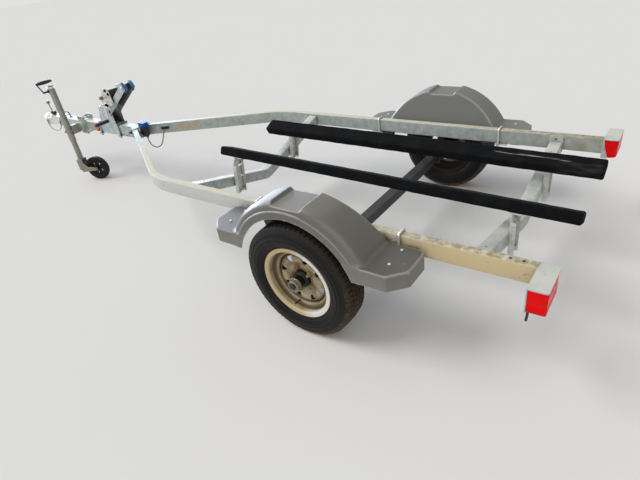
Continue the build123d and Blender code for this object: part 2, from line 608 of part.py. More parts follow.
arm_dir = Vector(ARM_TOP[0] - PIVOT[0], 0, ARM_TOP[1] - PIVOT[1]).normalized()
arm_plane = Plane(origin=(PIVOT[0], 0, PIVOT[1]), x_dir=arm_dir, z_dir=(0, 1, 0))
arm_len = math.hypot(ARM_TOP[0] - PIVOT[0], ARM_TOP[1] - PIVOT[1])


def arm_box(u0, u1, v0, v1, y0, y1):
    return arm_plane * Pos((u0 + u1) / 2, (v0 + v1) / 2, (y0 + y1) / 2) * Box(
        u1 - u0, v1 - v0, y1 - y0)


half = ARM_DEPTH / 2
arm_u0, arm_u1 = -38.0, arm_len + 22.0
probe = (arm_plane * Pos(0, 1, 0) * Vertex(0, 0, 0)).center()
up = 1 if probe.Z > PIVOT[1] else -1
arm = arm_box(arm_u0, arm_u1, -half, half, POST_HALF_Y, POST_HALF_Y + PLATE_T)
arm = arm + arm_box(arm_u0, arm_u1, -half, half, -POST_HALF_Y - PLATE_T, -POST_HALF_Y)
web_v = sorted((up * half, up * (half - PLATE_T)))
arm = arm + arm_box(36.0, arm_len - 55, web_v[0], web_v[1], -POST_HALF_Y, POST_HALF_Y)
ARM_Y = POST_HALF_Y + PLATE_T
for s in (1, -1):
    arm = arm + hex_head((PIVOT[0], s * ARM_Y, PIVOT[1]), (PIVOT[0], s * (ARM_Y + 9), PIVOT[1]), 19)
roller_c = (ARM_TOP[0], ARM_TOP[1])
arm = arm - rod((roller_c[0], -80, roller_c[1]), (roller_c[0], 80, roller_c[1]), 8.1)
save("winch_arm", arm)

# Bow roller between the arm's flanges: a waisted middle with a bell at each end
roller_half = POST_HALF_Y - 1.5
roller_pin = turned([(0, -ARM_Y - 12), (8, -ARM_Y - 12), (8, ARM_Y + 12), (0, ARM_Y + 12)],
                    roller_c[0], roller_c[1])
roller_body = turned([
    (8, -roller_half), (ROLLER_R - 8, -roller_half), (ROLLER_R, -roller_half + 6),
    (ROLLER_R, -roller_half + 10), (ROLLER_R * 0.62, -6), (ROLLER_R * 0.62, 6),
    (ROLLER_R, roller_half - 10), (ROLLER_R, roller_half - 6), (ROLLER_R - 8, roller_half),
    (8, roller_half)], roller_c[0], roller_c[1])
pin_head = turned([(8, ARM_Y + 1), (15, ARM_Y + 1), (15, ARM_Y + 8), (8, ARM_Y + 12)],
                  roller_c[0], roller_c[1])
save("bow_roller", roller_body + roller_pin + pin_head + mirrored(pin_head))

# Winch: cheek plates on the arm, drum with strap, crank
cheek_y = ARM_Y + 13.0
drum_x, drum_z = DRUM
winch = None
for s in (1, -1):
    y0, y1 = sorted((s * cheek_y, s * (cheek_y + 3)))
    cheek = plate_xz([
        (drum_x - 74, drum_z - 32), (drum_x - 60, drum_z - 62), (drum_x - 32, drum_z - 68),
        (drum_x + 28, drum_z - 50), (drum_x + 50, drum_z - 20), (drum_x + 44, drum_z + 16),
        (drum_x + 8, drum_z + 60), (drum_x - 32, drum_z + 64), (drum_x - 64, drum_z + 36)],
        y0, y1)
    winch = cheek if winch is None else winch + cheek
    ya, yb = sorted((s * ARM_Y, s * cheek_y))
    winch = winch + block(drum_x - 68, drum_x - 36, ya, yb, drum_z - 62, drum_z - 38)
winch = winch - rod((DRUM[0], -80, DRUM[1]), (DRUM[0], 80, DRUM[1]), 9.1)
save("winch_frame", winch)

drum = turned([(0, -66), (9, -66), (9, -54), (46, -54), (46, -50), (38, -50), (38, 50), (46, 50),
               (46, 54), (9, 54), (9, 82), (0, 82)], DRUM[0], DRUM[1])
save("winch_drum", drum)
crank_dir = Vector(14, 0, -173).normalized()
crank_end = Vector(DRUM[0], 0, DRUM[1]) + crank_dir * 172
crank = rod((DRUM[0], 82, DRUM[1]), (DRUM[0], 98, DRUM[1]), 14)
crank_plane = Plane(origin=(DRUM[0], 88, DRUM[1]), x_dir=crank_dir, z_dir=(0, 1, 0))
crank = crank + crank_plane * Pos(86, 0, 3) * Box(186, 22, 5)
crank = crank + rod((crank_end.X, 92, crank_end.Z), (crank_end.X, 100, crank_end.Z), 8)
grip = rod((crank_end.X, 98, crank_end.Z), (crank_end.X, 208, crank_end.Z), 14)
save("winch_crank", crank + grip)

# Coupler with ball socket, latch lever and the lugs of the safety cable
nose = NOSE_X
back_x = TONGUE_FRONT - 50
neck_x = TONGUE_FRONT + 68
slab_top = RAIL_TOP - 18
slab_low = RAIL_TOP - 74
coupler = block(back_x, TONGUE_FRONT + 78, -40, 40, RAIL_TOP, RAIL_TOP + 5)
sides = plate_xz([
    (back_x, RAIL_TOP + 5), (back_x, RAIL_TOP - 58), (neck_x, RAIL_TOP - 70),
    (nose - 130, slab_low), (nose - 130, slab_top), (TONGUE_FRONT + 78, RAIL_TOP + 5)], 35, 40)
coupler = coupler + sides + mirrored(sides)
half_plan = [(neck_x, 40), (nose - 130, 40), (nose - 70, 44), (nose - 30, 42), (nose - 6, 26)]
neck = plate_xy(half_plan + [(nose, 0)] + [(x, -y) for x, y in reversed(half_plan)],
                slab_low, slab_top)
neck = neck - block(neck_x - 10, nose - 130, -35, 35, slab_low - 16, slab_top - 5)
coupler = coupler + neck
crown = Pos(BALL_X, 0, slab_top - 6) * Sphere(33)
coupler = coupler + (crown & block(BALL_X - 90, BALL_X + 90, -60, 60, slab_top - 6, slab_top + 60))
socket_z = BALL_Z + 10
coupler = coupler - rod((BALL_X, 0, slab_low - 16), (BALL_X, 0, socket_z), BALL_R)
coupler = coupler - Pos(BALL_X, 0, socket_z) * Sphere(BALL_R)
front_lug_x = nose - 78
rear_lug_x = back_x + 18
coupler = coupler + block(front_lug_x - 8, front_lug_x + 8, 40, 54, BALL_Z + 18, BALL_Z + 28)
coupler = coupler + block(rear_lug_x - 8, rear_lug_x + 8, 39, 53, BALL_Z + 24, BALL_Z + 34)
save("coupler", coupler)
latch_x = nose - 180
latch = block(latch_x, latch_x + 74, -24, 24, slab_top, RAIL_TOP + 4)
latch = latch + block(latch_x + 4, latch_x + 54, -15, 15, RAIL_TOP + 4, RAIL_TOP + 34)
latch = latch + rod((latch_x + 44, 0, RAIL_TOP + 20), (latch_x + 58, 0, RAIL_TOP + 104), 5)
latch = latch + block(latch_x + 46, latch_x + 70, -13, 13, RAIL_TOP + 98, RAIL_TOP + 122)
save("coupler_latch", latch)

# Grab handle, a bent rod on the tongue ahead of the jack
handle_x = TONGUE_FRONT - 165
HANDLE_SPAN = 100.0
HANDLE_RISE = 42.0
grab_points = [
    (handle_x, 0, RAIL_TOP), (handle_x + 10, 0, RAIL_TOP + HANDLE_RISE),
    (handle_x + HANDLE_SPAN - 10, 0, RAIL_TOP + HANDLE_RISE), (handle_x + HANDLE_SPAN, 0, RAIL_TOP)]
grab_path = FilletPolyline(*grab_points, radius=20)
grab_plane = Plane(origin=grab_points[0], z_dir=Vector(10, 0, HANDLE_RISE))
grab = sweep(grab_plane * Circle(5), path=grab_path) & block(
    handle_x - 50, handle_x + HANDLE_SPAN + 50, -10, 10, RAIL_TOP + 2, RAIL_TOP + 80)
for x in (handle_x, handle_x + HANDLE_SPAN):
    grab = grab + block(x - 14, x + 14, -12, 12, RAIL_TOP, RAIL_TOP + 3)
save("grab_handle", grab)

# Jack: bracket on the tongue, swing tube, sliding leg, caster and wheel
plate_low = rail_base - 34
plate_top = RAIL_TOP + 35
bracket = block(JACK_X - 48, JACK_X + 48, tongue_side, tongue_side + 6, plate_low, plate_top)
bracket = bracket + rod((JACK_X, tongue_side + 6, SWING_Z), (JACK_X, 78, SWING_Z), 34)
bolt_pairs = [(dx, z) for dx in (-34, 34) for z in (plate_low + 14, plate_top - 13)]
back = block(JACK_X - 48, JACK_X + 48, -tongue_side - 6, -tongue_side, plate_low, plate_top)
for dx, z in bolt_pairs:
    bracket = bracket + rod((JACK_X + dx, -tongue_side - 12, z), (JACK_X + dx, tongue_side + 12, z), 5)
    bracket = bracket + hex_head((JACK_X + dx, tongue_side + 6, z), (JACK_X + dx, tongue_side + 13, z), 16)
bracket = bracket + back
save("jack_bracket", bracket)

tube = rod((JACK_X, JACK_Y, JACK_BOTTOM), (JACK_X, JACK_Y, JACK_TOP), JACK_R)
tube = tube - rod((JACK_X, JACK_Y, JACK_BOTTOM - 1), (JACK_X, JACK_Y, JACK_TOP - 8), LEG_R + 0.2)
swivel = rod((JACK_X, 78.5, SWING_Z), (JACK_X, 96, SWING_Z), 38)
swivel = swivel + block(JACK_X - 24, JACK_X + 24, 96, JACK_Y - 18, SWING_Z - 34, SWING_Z + 34)
swivel = swivel - rod((JACK_X, JACK_Y, 300), (JACK_X, JACK_Y, 600), JACK_R - 0.5)
ring = rod((JACK_X, JACK_Y, SWING_Z - 9), (JACK_X, JACK_Y, SWING_Z + 9), JACK_R + 5)
ring = ring - rod((JACK_X, JACK_Y, SWING_Z - 20), (JACK_X, JACK_Y, SWING_Z + 20), JACK_R - 0.5)
tube = tube + swivel + ring
save("jack_tube", tube)
crank_z = JACK_TOP - 33
grip_z = JACK_TOP + 31
handle = rod((JACK_X, JACK_Y + JACK_R, crank_z), (JACK_X, JACK_Y + 72, crank_z), 7)
handle = handle + rod((JACK_X, JACK_Y + 66, crank_z), (JACK_X + 40, JACK_Y + 76, grip_z - 6), 5)
handle = handle + rod((JACK_X + 40, JACK_Y + 82, grip_z), (JACK_X + 40, JACK_Y - 46, grip_z), 14)
save("jack_crank", handle)

leg = rod((JACK_X, JACK_Y, LEG_BOTTOM), (JACK_X, JACK_Y, LEG_TOP), LEG_R)
leg = leg - rod((JACK_X, JACK_Y, STEM_TOP + 8), (JACK_X, JACK_Y, LEG_TOP + 1), LEG_R - 3)
leg = leg - rod((JACK_X, JACK_Y, LEG_BOTTOM - 7), (JACK_X, JACK_Y, STEM_TOP), STEM_R + RUN_GAP)
save("jack_leg", leg)

# The fork stands in the wheel's own direction, turned about the leg
caster = Pos(JACK_X, JACK_Y, 0) * Rot(0, 0, CASTER_ANGLE)
fork_y = JOCKEY_W / 2 + 7.0
fork_top = LEG_BOTTOM - 0.1
horn = [(-26, fork_top), (-26, 150), (-60, 118), (-CASTER_TRAIL - 14, 108),
        (-CASTER_TRAIL - 14, JOCKEY_R - 12), (-70, 78), (4, 74), (26, 110), (26, fork_top)]
fork = plate_xz(horn, fork_y, fork_y + 4)
fork = fork + mirrored(fork)
fork = fork + block(-26, 26, -fork_y - 4, fork_y + 4, fork_top - 5.9, fork_top)
fork = fork + block(22, 26, -fork_y - 4, fork_y + 4, 96, fork_top)
fork = fork + rod((0, 0, 184), (0, 0, 230), STEM_R)
axle_pin = rod((-CASTER_TRAIL, -fork_y - 10, JOCKEY_R), (-CASTER_TRAIL, fork_y + 10, JOCKEY_R), 8)
fork = fork + axle_pin
save("jack_fork", caster * fork)
wheel = [(8.1, -24), (18, -24), (18, -8), (62, -8), (70, -17), (80, -21), (JOCKEY_R - 4, -19),
         (JOCKEY_R, -12), (JOCKEY_R, 12), (JOCKEY_R - 4, 19), (80, 21), (70, 17), (62, 8), (18, 8),
         (18, 24), (8.1, 24)]
jockey = turned(wheel, -CASTER_TRAIL, JOCKEY_R)
spoke_plane = Plane(origin=(-CASTER_TRAIL, -20, JOCKEY_R), x_dir=(1, 0, 0), z_dir=(0, 1, 0))
for i in range(5):
    cut = Rot(0, 0, 72 * i + 10) * Pos(41, 0) * Ellipse(14, 9)
    jockey = jockey - extrude(spoke_plane * cut, 40)
save("jockey_wheel", caster * jockey)

# Side reflectors on the tongue
reflectors = []
for s in (1, -1):
    reflector_x = WINCH_X + 283
    reflector_z = RAIL_TOP - 38
    reflectors.append(rod((reflector_x, s * tongue_side, reflector_z),
                          (reflector_x, s * (tongue_side + 9), reflector_z), 34))
save("side_reflectors", *reflectors)

# Wiring plug behind the tongue's rear end
plug_low = rail_base + 8
plug = rod((PLUG_X, PLUG_Y, plug_low), (PLUG_X, PLUG_Y, plug_low + 104), PLUG_R)
plug = plug + rod((PLUG_X, PLUG_Y, plug_low - 14), (PLUG_X, PLUG_Y, plug_low), 9)
plug = plug + block(PLUG_X, TONGUE_REAR, PLUG_Y - 20, PLUG_Y + 20, plug_low - 6, plug_low + 38)
save("wiring_plug", plug)


def cord_tube(name, points, r):
    points = [Vector(*p) for p in points]
    radii, length = [], 0.0
    for a, b, c in zip(points, points[1:], points[2:]):
        u, v = b - a, c - b
        turn = math.radians(u.get_angle(v))
        radii.append(0.45 * min(u.length, v.length) / math.tan(turn / 2))
    for a, b in zip(points, points[1:]):
        length += (b - a).length
    path = FilletPolyline(*points, radius=radii)
    start = Plane(origin=points[0], z_dir=points[1] - points[0])
    tube = sweep(start * Circle(r), path=path)
    share = tube.volume / (math.pi * r * r * path.length)
    print(name, "length", round(path.length, 1), "radii", [round(v, 1) for v in radii],
          "volume share", round(share, 4))
    save(name, tube)


# Cable from the plug, hanging in a bow, into the right rail's slot
entry = along_draw(SLOT_X, -RAIL_W / 2 - 26)
inner = along_draw(SLOT_X, RAIL_W / 2 - RAIL_WALL)
gland_z = plug_low - 14
cord_tube("wiring_cable", [
    (PLUG_X, PLUG_Y, gland_z), (PLUG_X, PLUG_Y, gland_z - 38),
    (PLUG_X - 20, PLUG_Y - 8, gland_z - 70), (PLUG_X - 54, PLUG_Y - 24, gland_z - 82),
    (PLUG_X - 88, PLUG_Y - 42, gland_z - 62), (PLUG_X - 106, PLUG_Y - 58, gland_z - 12),
    (entry[0], -entry[1], SLOT_Z), (inner[0], -inner[1], SLOT_Z)], 4)

# Steel safety cable under the coupler
cord_tube("safety_cable", [
    (front_lug_x, 49, BALL_Z + 18), (front_lug_x, 49, BALL_Z - 16),
    (front_lug_x - 22, 52, BALL_Z - 44), (front_lug_x - 60, 54, BALL_Z - 62),
    (front_lug_x - 112, 54, BALL_Z - 66), (rear_lug_x + 58, 54, BALL_Z - 60),
    (rear_lug_x + 20, 52, BALL_Z - 40), (rear_lug_x, 47, BALL_Z - 10),
    (rear_lug_x, 47, BALL_Z + 24)], 3)
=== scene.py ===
# %% [markdown]
# # A light boat trailer
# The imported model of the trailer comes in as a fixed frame, and each piece of it is
# dressed here: folded and welded galvanised steel, moulded plastic fenders, rubber,
# carpet. Every cell of code has a cell like this before it, which says what the real
# piece is and why it is made the way it is.

# %% Load the frame
import json
import math
import bmesh
import bpy
import numpy as np
from mathutils import Matrix, Vector
from mathutils.geometry import tessellate_polygon


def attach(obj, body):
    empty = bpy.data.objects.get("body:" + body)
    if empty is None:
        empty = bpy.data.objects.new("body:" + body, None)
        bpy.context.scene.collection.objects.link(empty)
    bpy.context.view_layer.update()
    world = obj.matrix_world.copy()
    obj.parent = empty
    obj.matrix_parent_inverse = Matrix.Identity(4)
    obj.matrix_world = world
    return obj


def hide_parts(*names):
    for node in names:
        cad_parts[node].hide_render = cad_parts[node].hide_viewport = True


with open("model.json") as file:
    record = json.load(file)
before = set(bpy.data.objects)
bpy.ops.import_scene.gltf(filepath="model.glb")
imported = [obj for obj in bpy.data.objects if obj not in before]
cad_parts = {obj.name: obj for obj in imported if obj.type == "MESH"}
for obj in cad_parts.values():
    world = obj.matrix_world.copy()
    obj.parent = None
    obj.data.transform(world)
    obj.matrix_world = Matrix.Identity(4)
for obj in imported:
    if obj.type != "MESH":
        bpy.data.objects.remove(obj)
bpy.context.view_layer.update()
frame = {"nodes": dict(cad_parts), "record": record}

nodes = frame["nodes"]

# %% [markdown]
# ## The drawing's own coordinates
# The trailer was drawn in millimetres from the wheel axis: X to the coupler, Y to the
# trailer's left, Z up from the floor. Working in those numbers keeps every piece easy
# to check against a tape measure, so one function turns them into metres in the scene.
# Another puts a new object into the scene.

# %% Coordinates
MM = 0.001
AXIS_X = -1.29745
scene = bpy.context.scene


def place(x, y, z):
    return Vector((x * MM + AXIS_X, y * MM, z * MM))


def put(name, data):
    made = bpy.data.objects.new(name, data)
    scene.collection.objects.link(made)
    return made


print("the wheel axis is at", AXIS_X, "m")

# %% [markdown]
# ## The camera
# A real camera stood behind the trailer's left side at eye height, held a little
# askew. Its place, turn and lens come from lining up the rails, the lamps and both
# wheels with the view, so the camera is set from those numbers and not aimed by hand.
# There is no depth of field, so every piece stays sharp.

# %% Camera
CAMERA_PLACE = Vector((-2.42045, 1.9567, 1.4473))
YAW, PITCH, ROLL = (math.radians(a) for a in (-49.814, -31.759, 8.993))
LENS_MM = 26.66
ahead = Vector((math.cos(PITCH) * math.cos(YAW), math.cos(PITCH) * math.sin(YAW), math.sin(PITCH)))
level = ahead.cross((0, 0, 1)).normalized()
below = ahead.cross(level)
right = level * math.cos(ROLL) + below * math.sin(ROLL)
down = below * math.cos(ROLL) - level * math.sin(ROLL)
camera = put("camera", bpy.data.cameras.new("camera"))
camera.data.lens = LENS_MM
camera.data.clip_start = 0.05
camera.data.clip_end = 100
turn = Matrix((right, -down, -ahead)).transposed().to_4x4()
camera.matrix_world = Matrix.Translation(CAMERA_PLACE) @ turn
scene.camera = camera
print("camera looks along", tuple(round(v, 3) for v in ahead))

# %% [markdown]
# ## The floor and the light
# A product studio: one wide pale floor, a big soft key high up in front on the left, and
# a softer fill from behind. Both are wide sun lamps, so that they light the floor as
# evenly far away as near. A third, low and cool, and a wide panel that only glossy
# surfaces show stand for the open sky ahead of the coupler: they brighten the front of
# the fender's arch. The world gives the even grey that the underside needs, and only the
# camera and polished metal see it as a pale backdrop of the floor's own tone.

# %% Floor, world and lamps
def add(tree, kind, inputs=None, **settings):
    """One shader node: settings are its own choices, inputs its sockets' values or links."""
    made = tree.nodes.new("ShaderNode" + kind)
    for name, value in settings.items():
        setattr(made, name, value)
    for name, value in (inputs or {}).items():
        socket = made.inputs[name]
        if isinstance(value, bpy.types.NodeSocket):
            tree.links.new(value, socket)
        else:
            socket.default_value = value
    return made


def colour(code):
    """A colour written as on paper, #rrggbb, as the linear light that the shader wants."""
    parts = [int(code[i:i + 2], 16) / 255 for i in (1, 3, 5)]
    return (*[c / 12.92 if c <= 0.04045 else ((c + 0.055) / 1.055) ** 2.4 for c in parts], 1)


PAPER, SKY, AMBIENT = "#e3e1dd", "#e9eef6", 0.42
scene.view_settings.view_transform = "Standard"
world = bpy.data.worlds.new("studio")
scene.world = world
world.use_nodes = True
world.node_tree.nodes.clear()
seen = add(world.node_tree, "LightPath")
straight = add(world.node_tree, "Math", {0: seen.outputs["Is Camera Ray"],
                                         1: seen.outputs["Is Glossy Ray"]}, operation="MAXIMUM")
backdrop = add(world.node_tree, "Background", {"Color": colour(PAPER), "Strength": 1.0})
ambient = add(world.node_tree, "Background", {"Color": colour(SKY), "Strength": AMBIENT})
either = add(world.node_tree, "MixShader", {0: straight.outputs[0], 1: ambient.outputs[0],
                                            2: backdrop.outputs[0]})
add(world.node_tree, "OutputWorld", {"Surface": either.outputs[0]})

FLOOR_SIZE = 120.0
mesh = bmesh.new()
bmesh.ops.create_grid(mesh, x_segments=2, y_segments=2, size=FLOOR_SIZE / 2)
floor = put("studio_floor", bpy.data.meshes.new("studio_floor"))
mesh.to_mesh(floor.data)
mesh.free()
paper = bpy.data.materials.new("studio paper, matt")
paper.use_nodes = True
paper.node_tree.nodes.clear()
matt = add(paper.node_tree, "BsdfDiffuse", {"Color": colour(PAPER)})
add(paper.node_tree, "OutputMaterial", {"Surface": matt.outputs[0]})
floor.data.materials.append(paper)


def lit(name, kind, aim, strength, tint):
    """A lamp that looks along aim."""
    lamp = put(name, bpy.data.lights.new(name, kind))
    lamp.data.energy = strength
    lamp.data.color = colour(tint)[:3]
    lamp.rotation_euler = Vector(aim).to_track_quat("-Z", "Y").to_euler()
    return lamp


for name, aim, strength, spread, tint in (
    ("key", (-0.72, -0.42, -0.9), 1.75, 34, "#ffffff"),
    ("fill", (0.55, -0.75, -0.75), 0.75, 60, "#fff6ea"),
    ("low", (-0.93, 0.15, -0.3), 0.75, 45, "#d2e3ff"),
):
    lit(name, "SUN", aim, strength, tint).data.angle = math.radians(spread)
horizon = lit("horizon", "AREA", (-1, 0.3, -0.12), 1500, "#dcebff")
horizon.data.shape = "RECTANGLE"
horizon.data.size, horizon.data.size_y = 12.0, 3.4
horizon.location = (7.5, -3.2, 1.75)
horizon.visible_camera = False
horizon.visible_diffuse = False
print("floor", FLOOR_SIZE, "m across, 4 lamps")

# %% [markdown]
# ## How a finish is built
# Each finish is a stack: the bare finish, then what years outdoors add to it. A layer
# has masks, made from patches at the real size of the marks, from which way a surface
# faces, from where it is, or from how tucked away it is. Patches are measured in
# millimetres and places in metres, in each piece's own coordinates, so the marks stay
# put when a wheel turns.

# %% Making a finish
X, Y, Z = 0, 1, 2


def patches(t, mm, low, high, detail=4.0, stretch=(1, 1, 1)):
    """A mask with marks about mm across: 0 below the pattern's value low, 1 above high."""
    where = t["object"]
    if stretch != (1, 1, 1):
        where = add(t["tree"], "Mapping", {"Vector": where, "Scale": stretch}).outputs[0]
    made = add(t["tree"], "TexNoise", {"Vector": where, "Scale": 1000 / mm, "Detail": detail})
    return add(t["tree"], "MapRange", {"Value": made.outputs[0], "From Min": low,
                                       "From Max": high}).outputs[0]


def facing(t, axis, low, high):
    """A mask from which way the surface faces along an axis: negative values face back."""
    split = add(t["tree"], "SeparateXYZ", {0: t["normal"]})
    return add(t["tree"], "MapRange", {"Value": split.outputs[axis], "From Min": low,
                                       "From Max": high}).outputs[0]


def toward(t, axis, low, high):
    """A mask from a place: 0 at low and 1 at high, in metres along that axis."""
    split = add(t["tree"], "SeparateXYZ", {0: t["object"]})
    return add(t["tree"], "MapRange", {"Value": split.outputs[axis], "From Min": low,
                                       "From Max": high}).outputs[0]


def in_gaps(t, reach, low, high):
    """A mask that is 1 in corners and gaps, within reach metres of other surfaces."""
    made = add(t["tree"], "AmbientOcclusion", {"Distance": reach}, samples=4)
    return add(t["tree"], "MapRange", {"Value": made.outputs["AO"], "From Min": high,
                                       "From Max": low}).outputs[0]


def painted_edge_highlight(t, low, high):
    """A mask along convex edges, for a highlight painted where they catch the light."""
    made = add(t["tree"], "NewGeometry")
    return add(t["tree"], "MapRange", {"Value": made.outputs["Pointiness"], "From Min": low,
                                       "From Max": high}).outputs[0]


def finish(name, base, rough, metal=0.0, layers=(), grain=(), shine=None):
    """A material. Layers of (colour, roughness, metal, masks...) lie over the base, a mask
    being its function and what it is given. Grain is rows of (patches' own values, depth in
    mm). shine is for a surface that reflects less or more than plain plastic does."""
    made = bpy.data.materials.new(name)
    made.use_nodes = True
    tree = made.node_tree
    tree.nodes.clear()
    place_of = add(tree, "TexCoord")
    t = {"tree": tree, "object": place_of.outputs["Object"], "normal": place_of.outputs["Normal"]}
    paint, gloss, sheen = colour(base), rough, metal
    for tint, layer_rough, layer_metal, *masks in layers:
        mask, *others = [made_of(t, *values) for made_of, *values in masks]
        for other in others:
            mask = add(tree, "Math", {0: mask, 1: other}, operation="MULTIPLY").outputs[0]
        paint = add(tree, "Mix", {0: mask, 6: paint, 7: colour(tint)}, data_type="RGBA").outputs[2]
        gloss = add(tree, "Mix", {0: mask, 2: gloss, 3: layer_rough}).outputs[0]
        if metal or layer_metal:
            sheen = add(tree, "Mix", {0: mask, 2: sheen, 3: layer_metal}).outputs[0]
    inputs = {"Base Color": paint, "Roughness": gloss, "Metallic": sheen}
    if shine is not None:
        inputs["Specular IOR Level"] = shine
    bent = None
    for *values, depth in grain:
        under = {"Normal": bent} if bent else {}
        bent = add(tree, "Bump", {"Height": patches(t, *values), "Distance": depth * MM,
                                  **under}).outputs[0]
    if bent:
        inputs["Normal"] = bent
    shader = add(tree, "BsdfPrincipled", inputs)
    add(tree, "OutputMaterial", {"Surface": shader.outputs[0]})
    return made


def mottled(name, base, rough, mm, tint, tint_rough, shine=None):
    """A plain finish with one layer of marks, each about mm across."""
    marks = (tint, tint_rough, 0.0, (patches, mm, 0.5, 0.75))
    return finish(name, base, rough, layers=[marks], shine=shine)


# %% [markdown]
# ## Steel finishes
# The frame is hot-dip galvanised: dull grey zinc, a little mottled where it froze on
# the steel. Years outdoors have laid pale dust on all that looks up, and left the inner
# faces clean and bluish. The outer faces of the left rail carry painted light from the
# left: pale all along, and warm tan on the rear part. The coupler and winch parts are
# plated bright zinc, the inside of the winch post is painted dark as shade, the axle and
# springs are black enamel, and the rims are cream enamel that rusts at its edges, with
# painted shade in its well and behind its disc and a painted highlight on the rear of
# its outer lip.

# %% Steel
ZINC_GRAIN = [(5, 0.2, 0.8, 6, 0.12), (60, 0.3, 0.7, 2, 0.3)]
# Mottle, then pale dust where it faces up, grime in the corners and a few brown marks
galvanised = finish("hot-dip galvanised steel", "#bbc2c1", 0.46, 0.35, [
    ("#98a2a0", 0.52, 0.3, (patches, 34, 0.35, 0.65)),
    ("#c3c7bf", 0.44, 0.4, (patches, 9, 0.52, 0.72, 6)),
    ("#cdccc2", 0.62, 0.1, (facing, Z, 0.35, 0.9), (patches, 120, 0.25, 0.6)),
    ("#6d675a", 0.85, 0.0, (in_gaps, 0.03, 0.35, 0.8), (patches, 25, 0.25, 0.6)),
    ("#8b7a5e", 0.8, 0.0, (patches, 14, 0.66, 0.74, 8, (1, 1, 0.3))),
], ZINC_GRAIN)

rail_steel = finish("hot-dip galvanised steel, painted warm light on the left", "#b0b7b4", 0.46, 0.35, [
    ("#949d9b", 0.52, 0.3, (patches, 40, 0.35, 0.65)),
    ("#bcc2bc", 0.44, 0.4, (patches, 10, 0.55, 0.72, 6)),
    # Painted light: the left rail's outer faces, lit from the left, pale all along and warm tan toward
    # the rear
    ("#c3c7c3", 0.6, 0.1, (facing, Y, 0.3, 0.8), (toward, Y, 0.3, 0.5)),
    ("#cab78f", 0.75, 0.0, (facing, Y, 0.3, 0.8), (toward, Y, 0.3, 0.5), (toward, X, -1.35, -1.8)),
    ("#cdc7b0", 0.75, 0.0, (facing, Z, 0.4, 0.9), (toward, X, 0.8, 0.1), (patches, 150, 0.1, 0.5)),
    ("#9a8d6e", 0.85, 0.0, (facing, Z, 0.4, 0.9), (toward, X, -1.2, -1.9), (patches, 26, 0.35, 0.6)),
    ("#94907c", 0.8, 0.0, (toward, Y, -0.3, -0.5), (toward, X, -1.7, -2.1), (patches, 60, 0.3, 0.6)),
    ("#6d6250", 0.85, 0.0, (in_gaps, 0.03, 0.35, 0.8), (patches, 25, 0.25, 0.6)),
    ("#9a8a6c", 0.8, 0.0, (patches, 16, 0.67, 0.74, 8, (0.5, 1, 1))),
], ZINC_GRAIN)

bright_zinc = finish("bright zinc plated steel", "#dcdcd6", 0.3, 0.6, [
    ("#bdbdb6", 0.42, 0.45, (patches, 12, 0.5, 0.7, 5)),
    ("#6f6654", 0.8, 0.0, (in_gaps, 0.02, 0.3, 0.8), (patches, 12, 0.3, 0.6)),
    ("#84714e", 0.75, 0.1, (patches, 7, 0.68, 0.76, 8)),
], [(3, 0.3, 0.7, 4, 0.05)])

post_zinc = finish("new galvanised steel of the bunk posts", "#d3d4cf", 0.36, 0.55, [
    ("#b9bab3", 0.46, 0.4, (patches, 18, 0.45, 0.7, 5)),
    ("#7b776b", 0.8, 0.0, (in_gaps, 0.02, 0.3, 0.8)),
], ZINC_GRAIN)

winch_steel = finish("hot-dip galvanised plate, painted shade inside", "#c2cacb", 0.42, 0.35, [
    ("#a7b1b4", 0.5, 0.3, (patches, 30, 0.4, 0.65)),
    ("#8f948f", 0.6, 0.1, (patches, 8, 0.6, 0.75, 6)),
    # Painted shade: the inside of the post's channel and foot nearly black, and its faces looking aft
    # above the tongue dark
    ("#1d1c19", 0.85, 0.0, (in_gaps, 0.1, 0.45, 0.78)),
    ("#17171a", 0.7, 0.0, (facing, X, -0.3, -0.6), (toward, Z, 0.47, 0.49)),
], ZINC_GRAIN)

greasy_black = finish("black enamel, greasy", "#08080a", 0.38, 0.0, [
    ("#241d15", 0.6, 0.0, (patches, 9, 0.6, 0.75, 6)),
], shine=0.3)

black_enamel = finish("black enamel, dusty", "#141518", 0.45, 0.0, [
    ("#3d3a33", 0.8, 0.0, (facing, Z, 0.2, 0.9), (patches, 60, 0.35, 0.75)),
    ("#3b3129", 0.75, 0.0, (patches, 9, 0.64, 0.74, 8)),
], [(4, 0.3, 0.7, 4, 0.08)])

cream_enamel = finish("cream enamel with rust, painted shade and highlight", "#b0a588", 0.42, 0.0, [
    ("#8f7f5d", 0.6, 0.0, (patches, 45, 0.4, 0.7)),
    # Painted shade: brown in the well, the gutters and the disc's reliefs
    ("#6a5636", 0.75, 0.0, (in_gaps, 0.06, 0.15, 0.95)),
    ("#3f2f1c", 0.85, 0.0, (in_gaps, 0.02, 0.1, 0.7), (patches, 20, 0.2, 0.6)),
    # Dark road grime and painted shade on the barrel behind the disc, so that the windows show dark
    *[("#1d1610", 0.9, 0.0, (toward, Y, s * 0.774, s * 0.766), (toward, Y, s * 0.5, s * 0.6))
      for s in (1, -1)],
    ("#6b4427", 0.85, 0.0, (patches, 11, 0.66, 0.72, 8)),
    # Painted shade: a dark ring on the rim's step inside the outer flange
    *[("#54432b", 0.8, 0.0, (toward, Y, s * 0.802, s * 0.796),
       (toward, Y, s * 0.786, s * 0.791)) for s in (1, -1)],
    *[("#bfab83", 0.38, 0.0, (toward, Y, s * 0.812, s * 0.817)) for s in (1, -1)],
    # Painted highlight: the outer lip pale on the wheel's rear half
    *[("#dcd9cf", 0.32, 0.0, (toward, Y, s * 0.8, s * 0.812), (toward, X, -1.3, -1.37))
      for s in (1, -1)],
], [(6, 0.3, 0.7, 5, 0.1)])

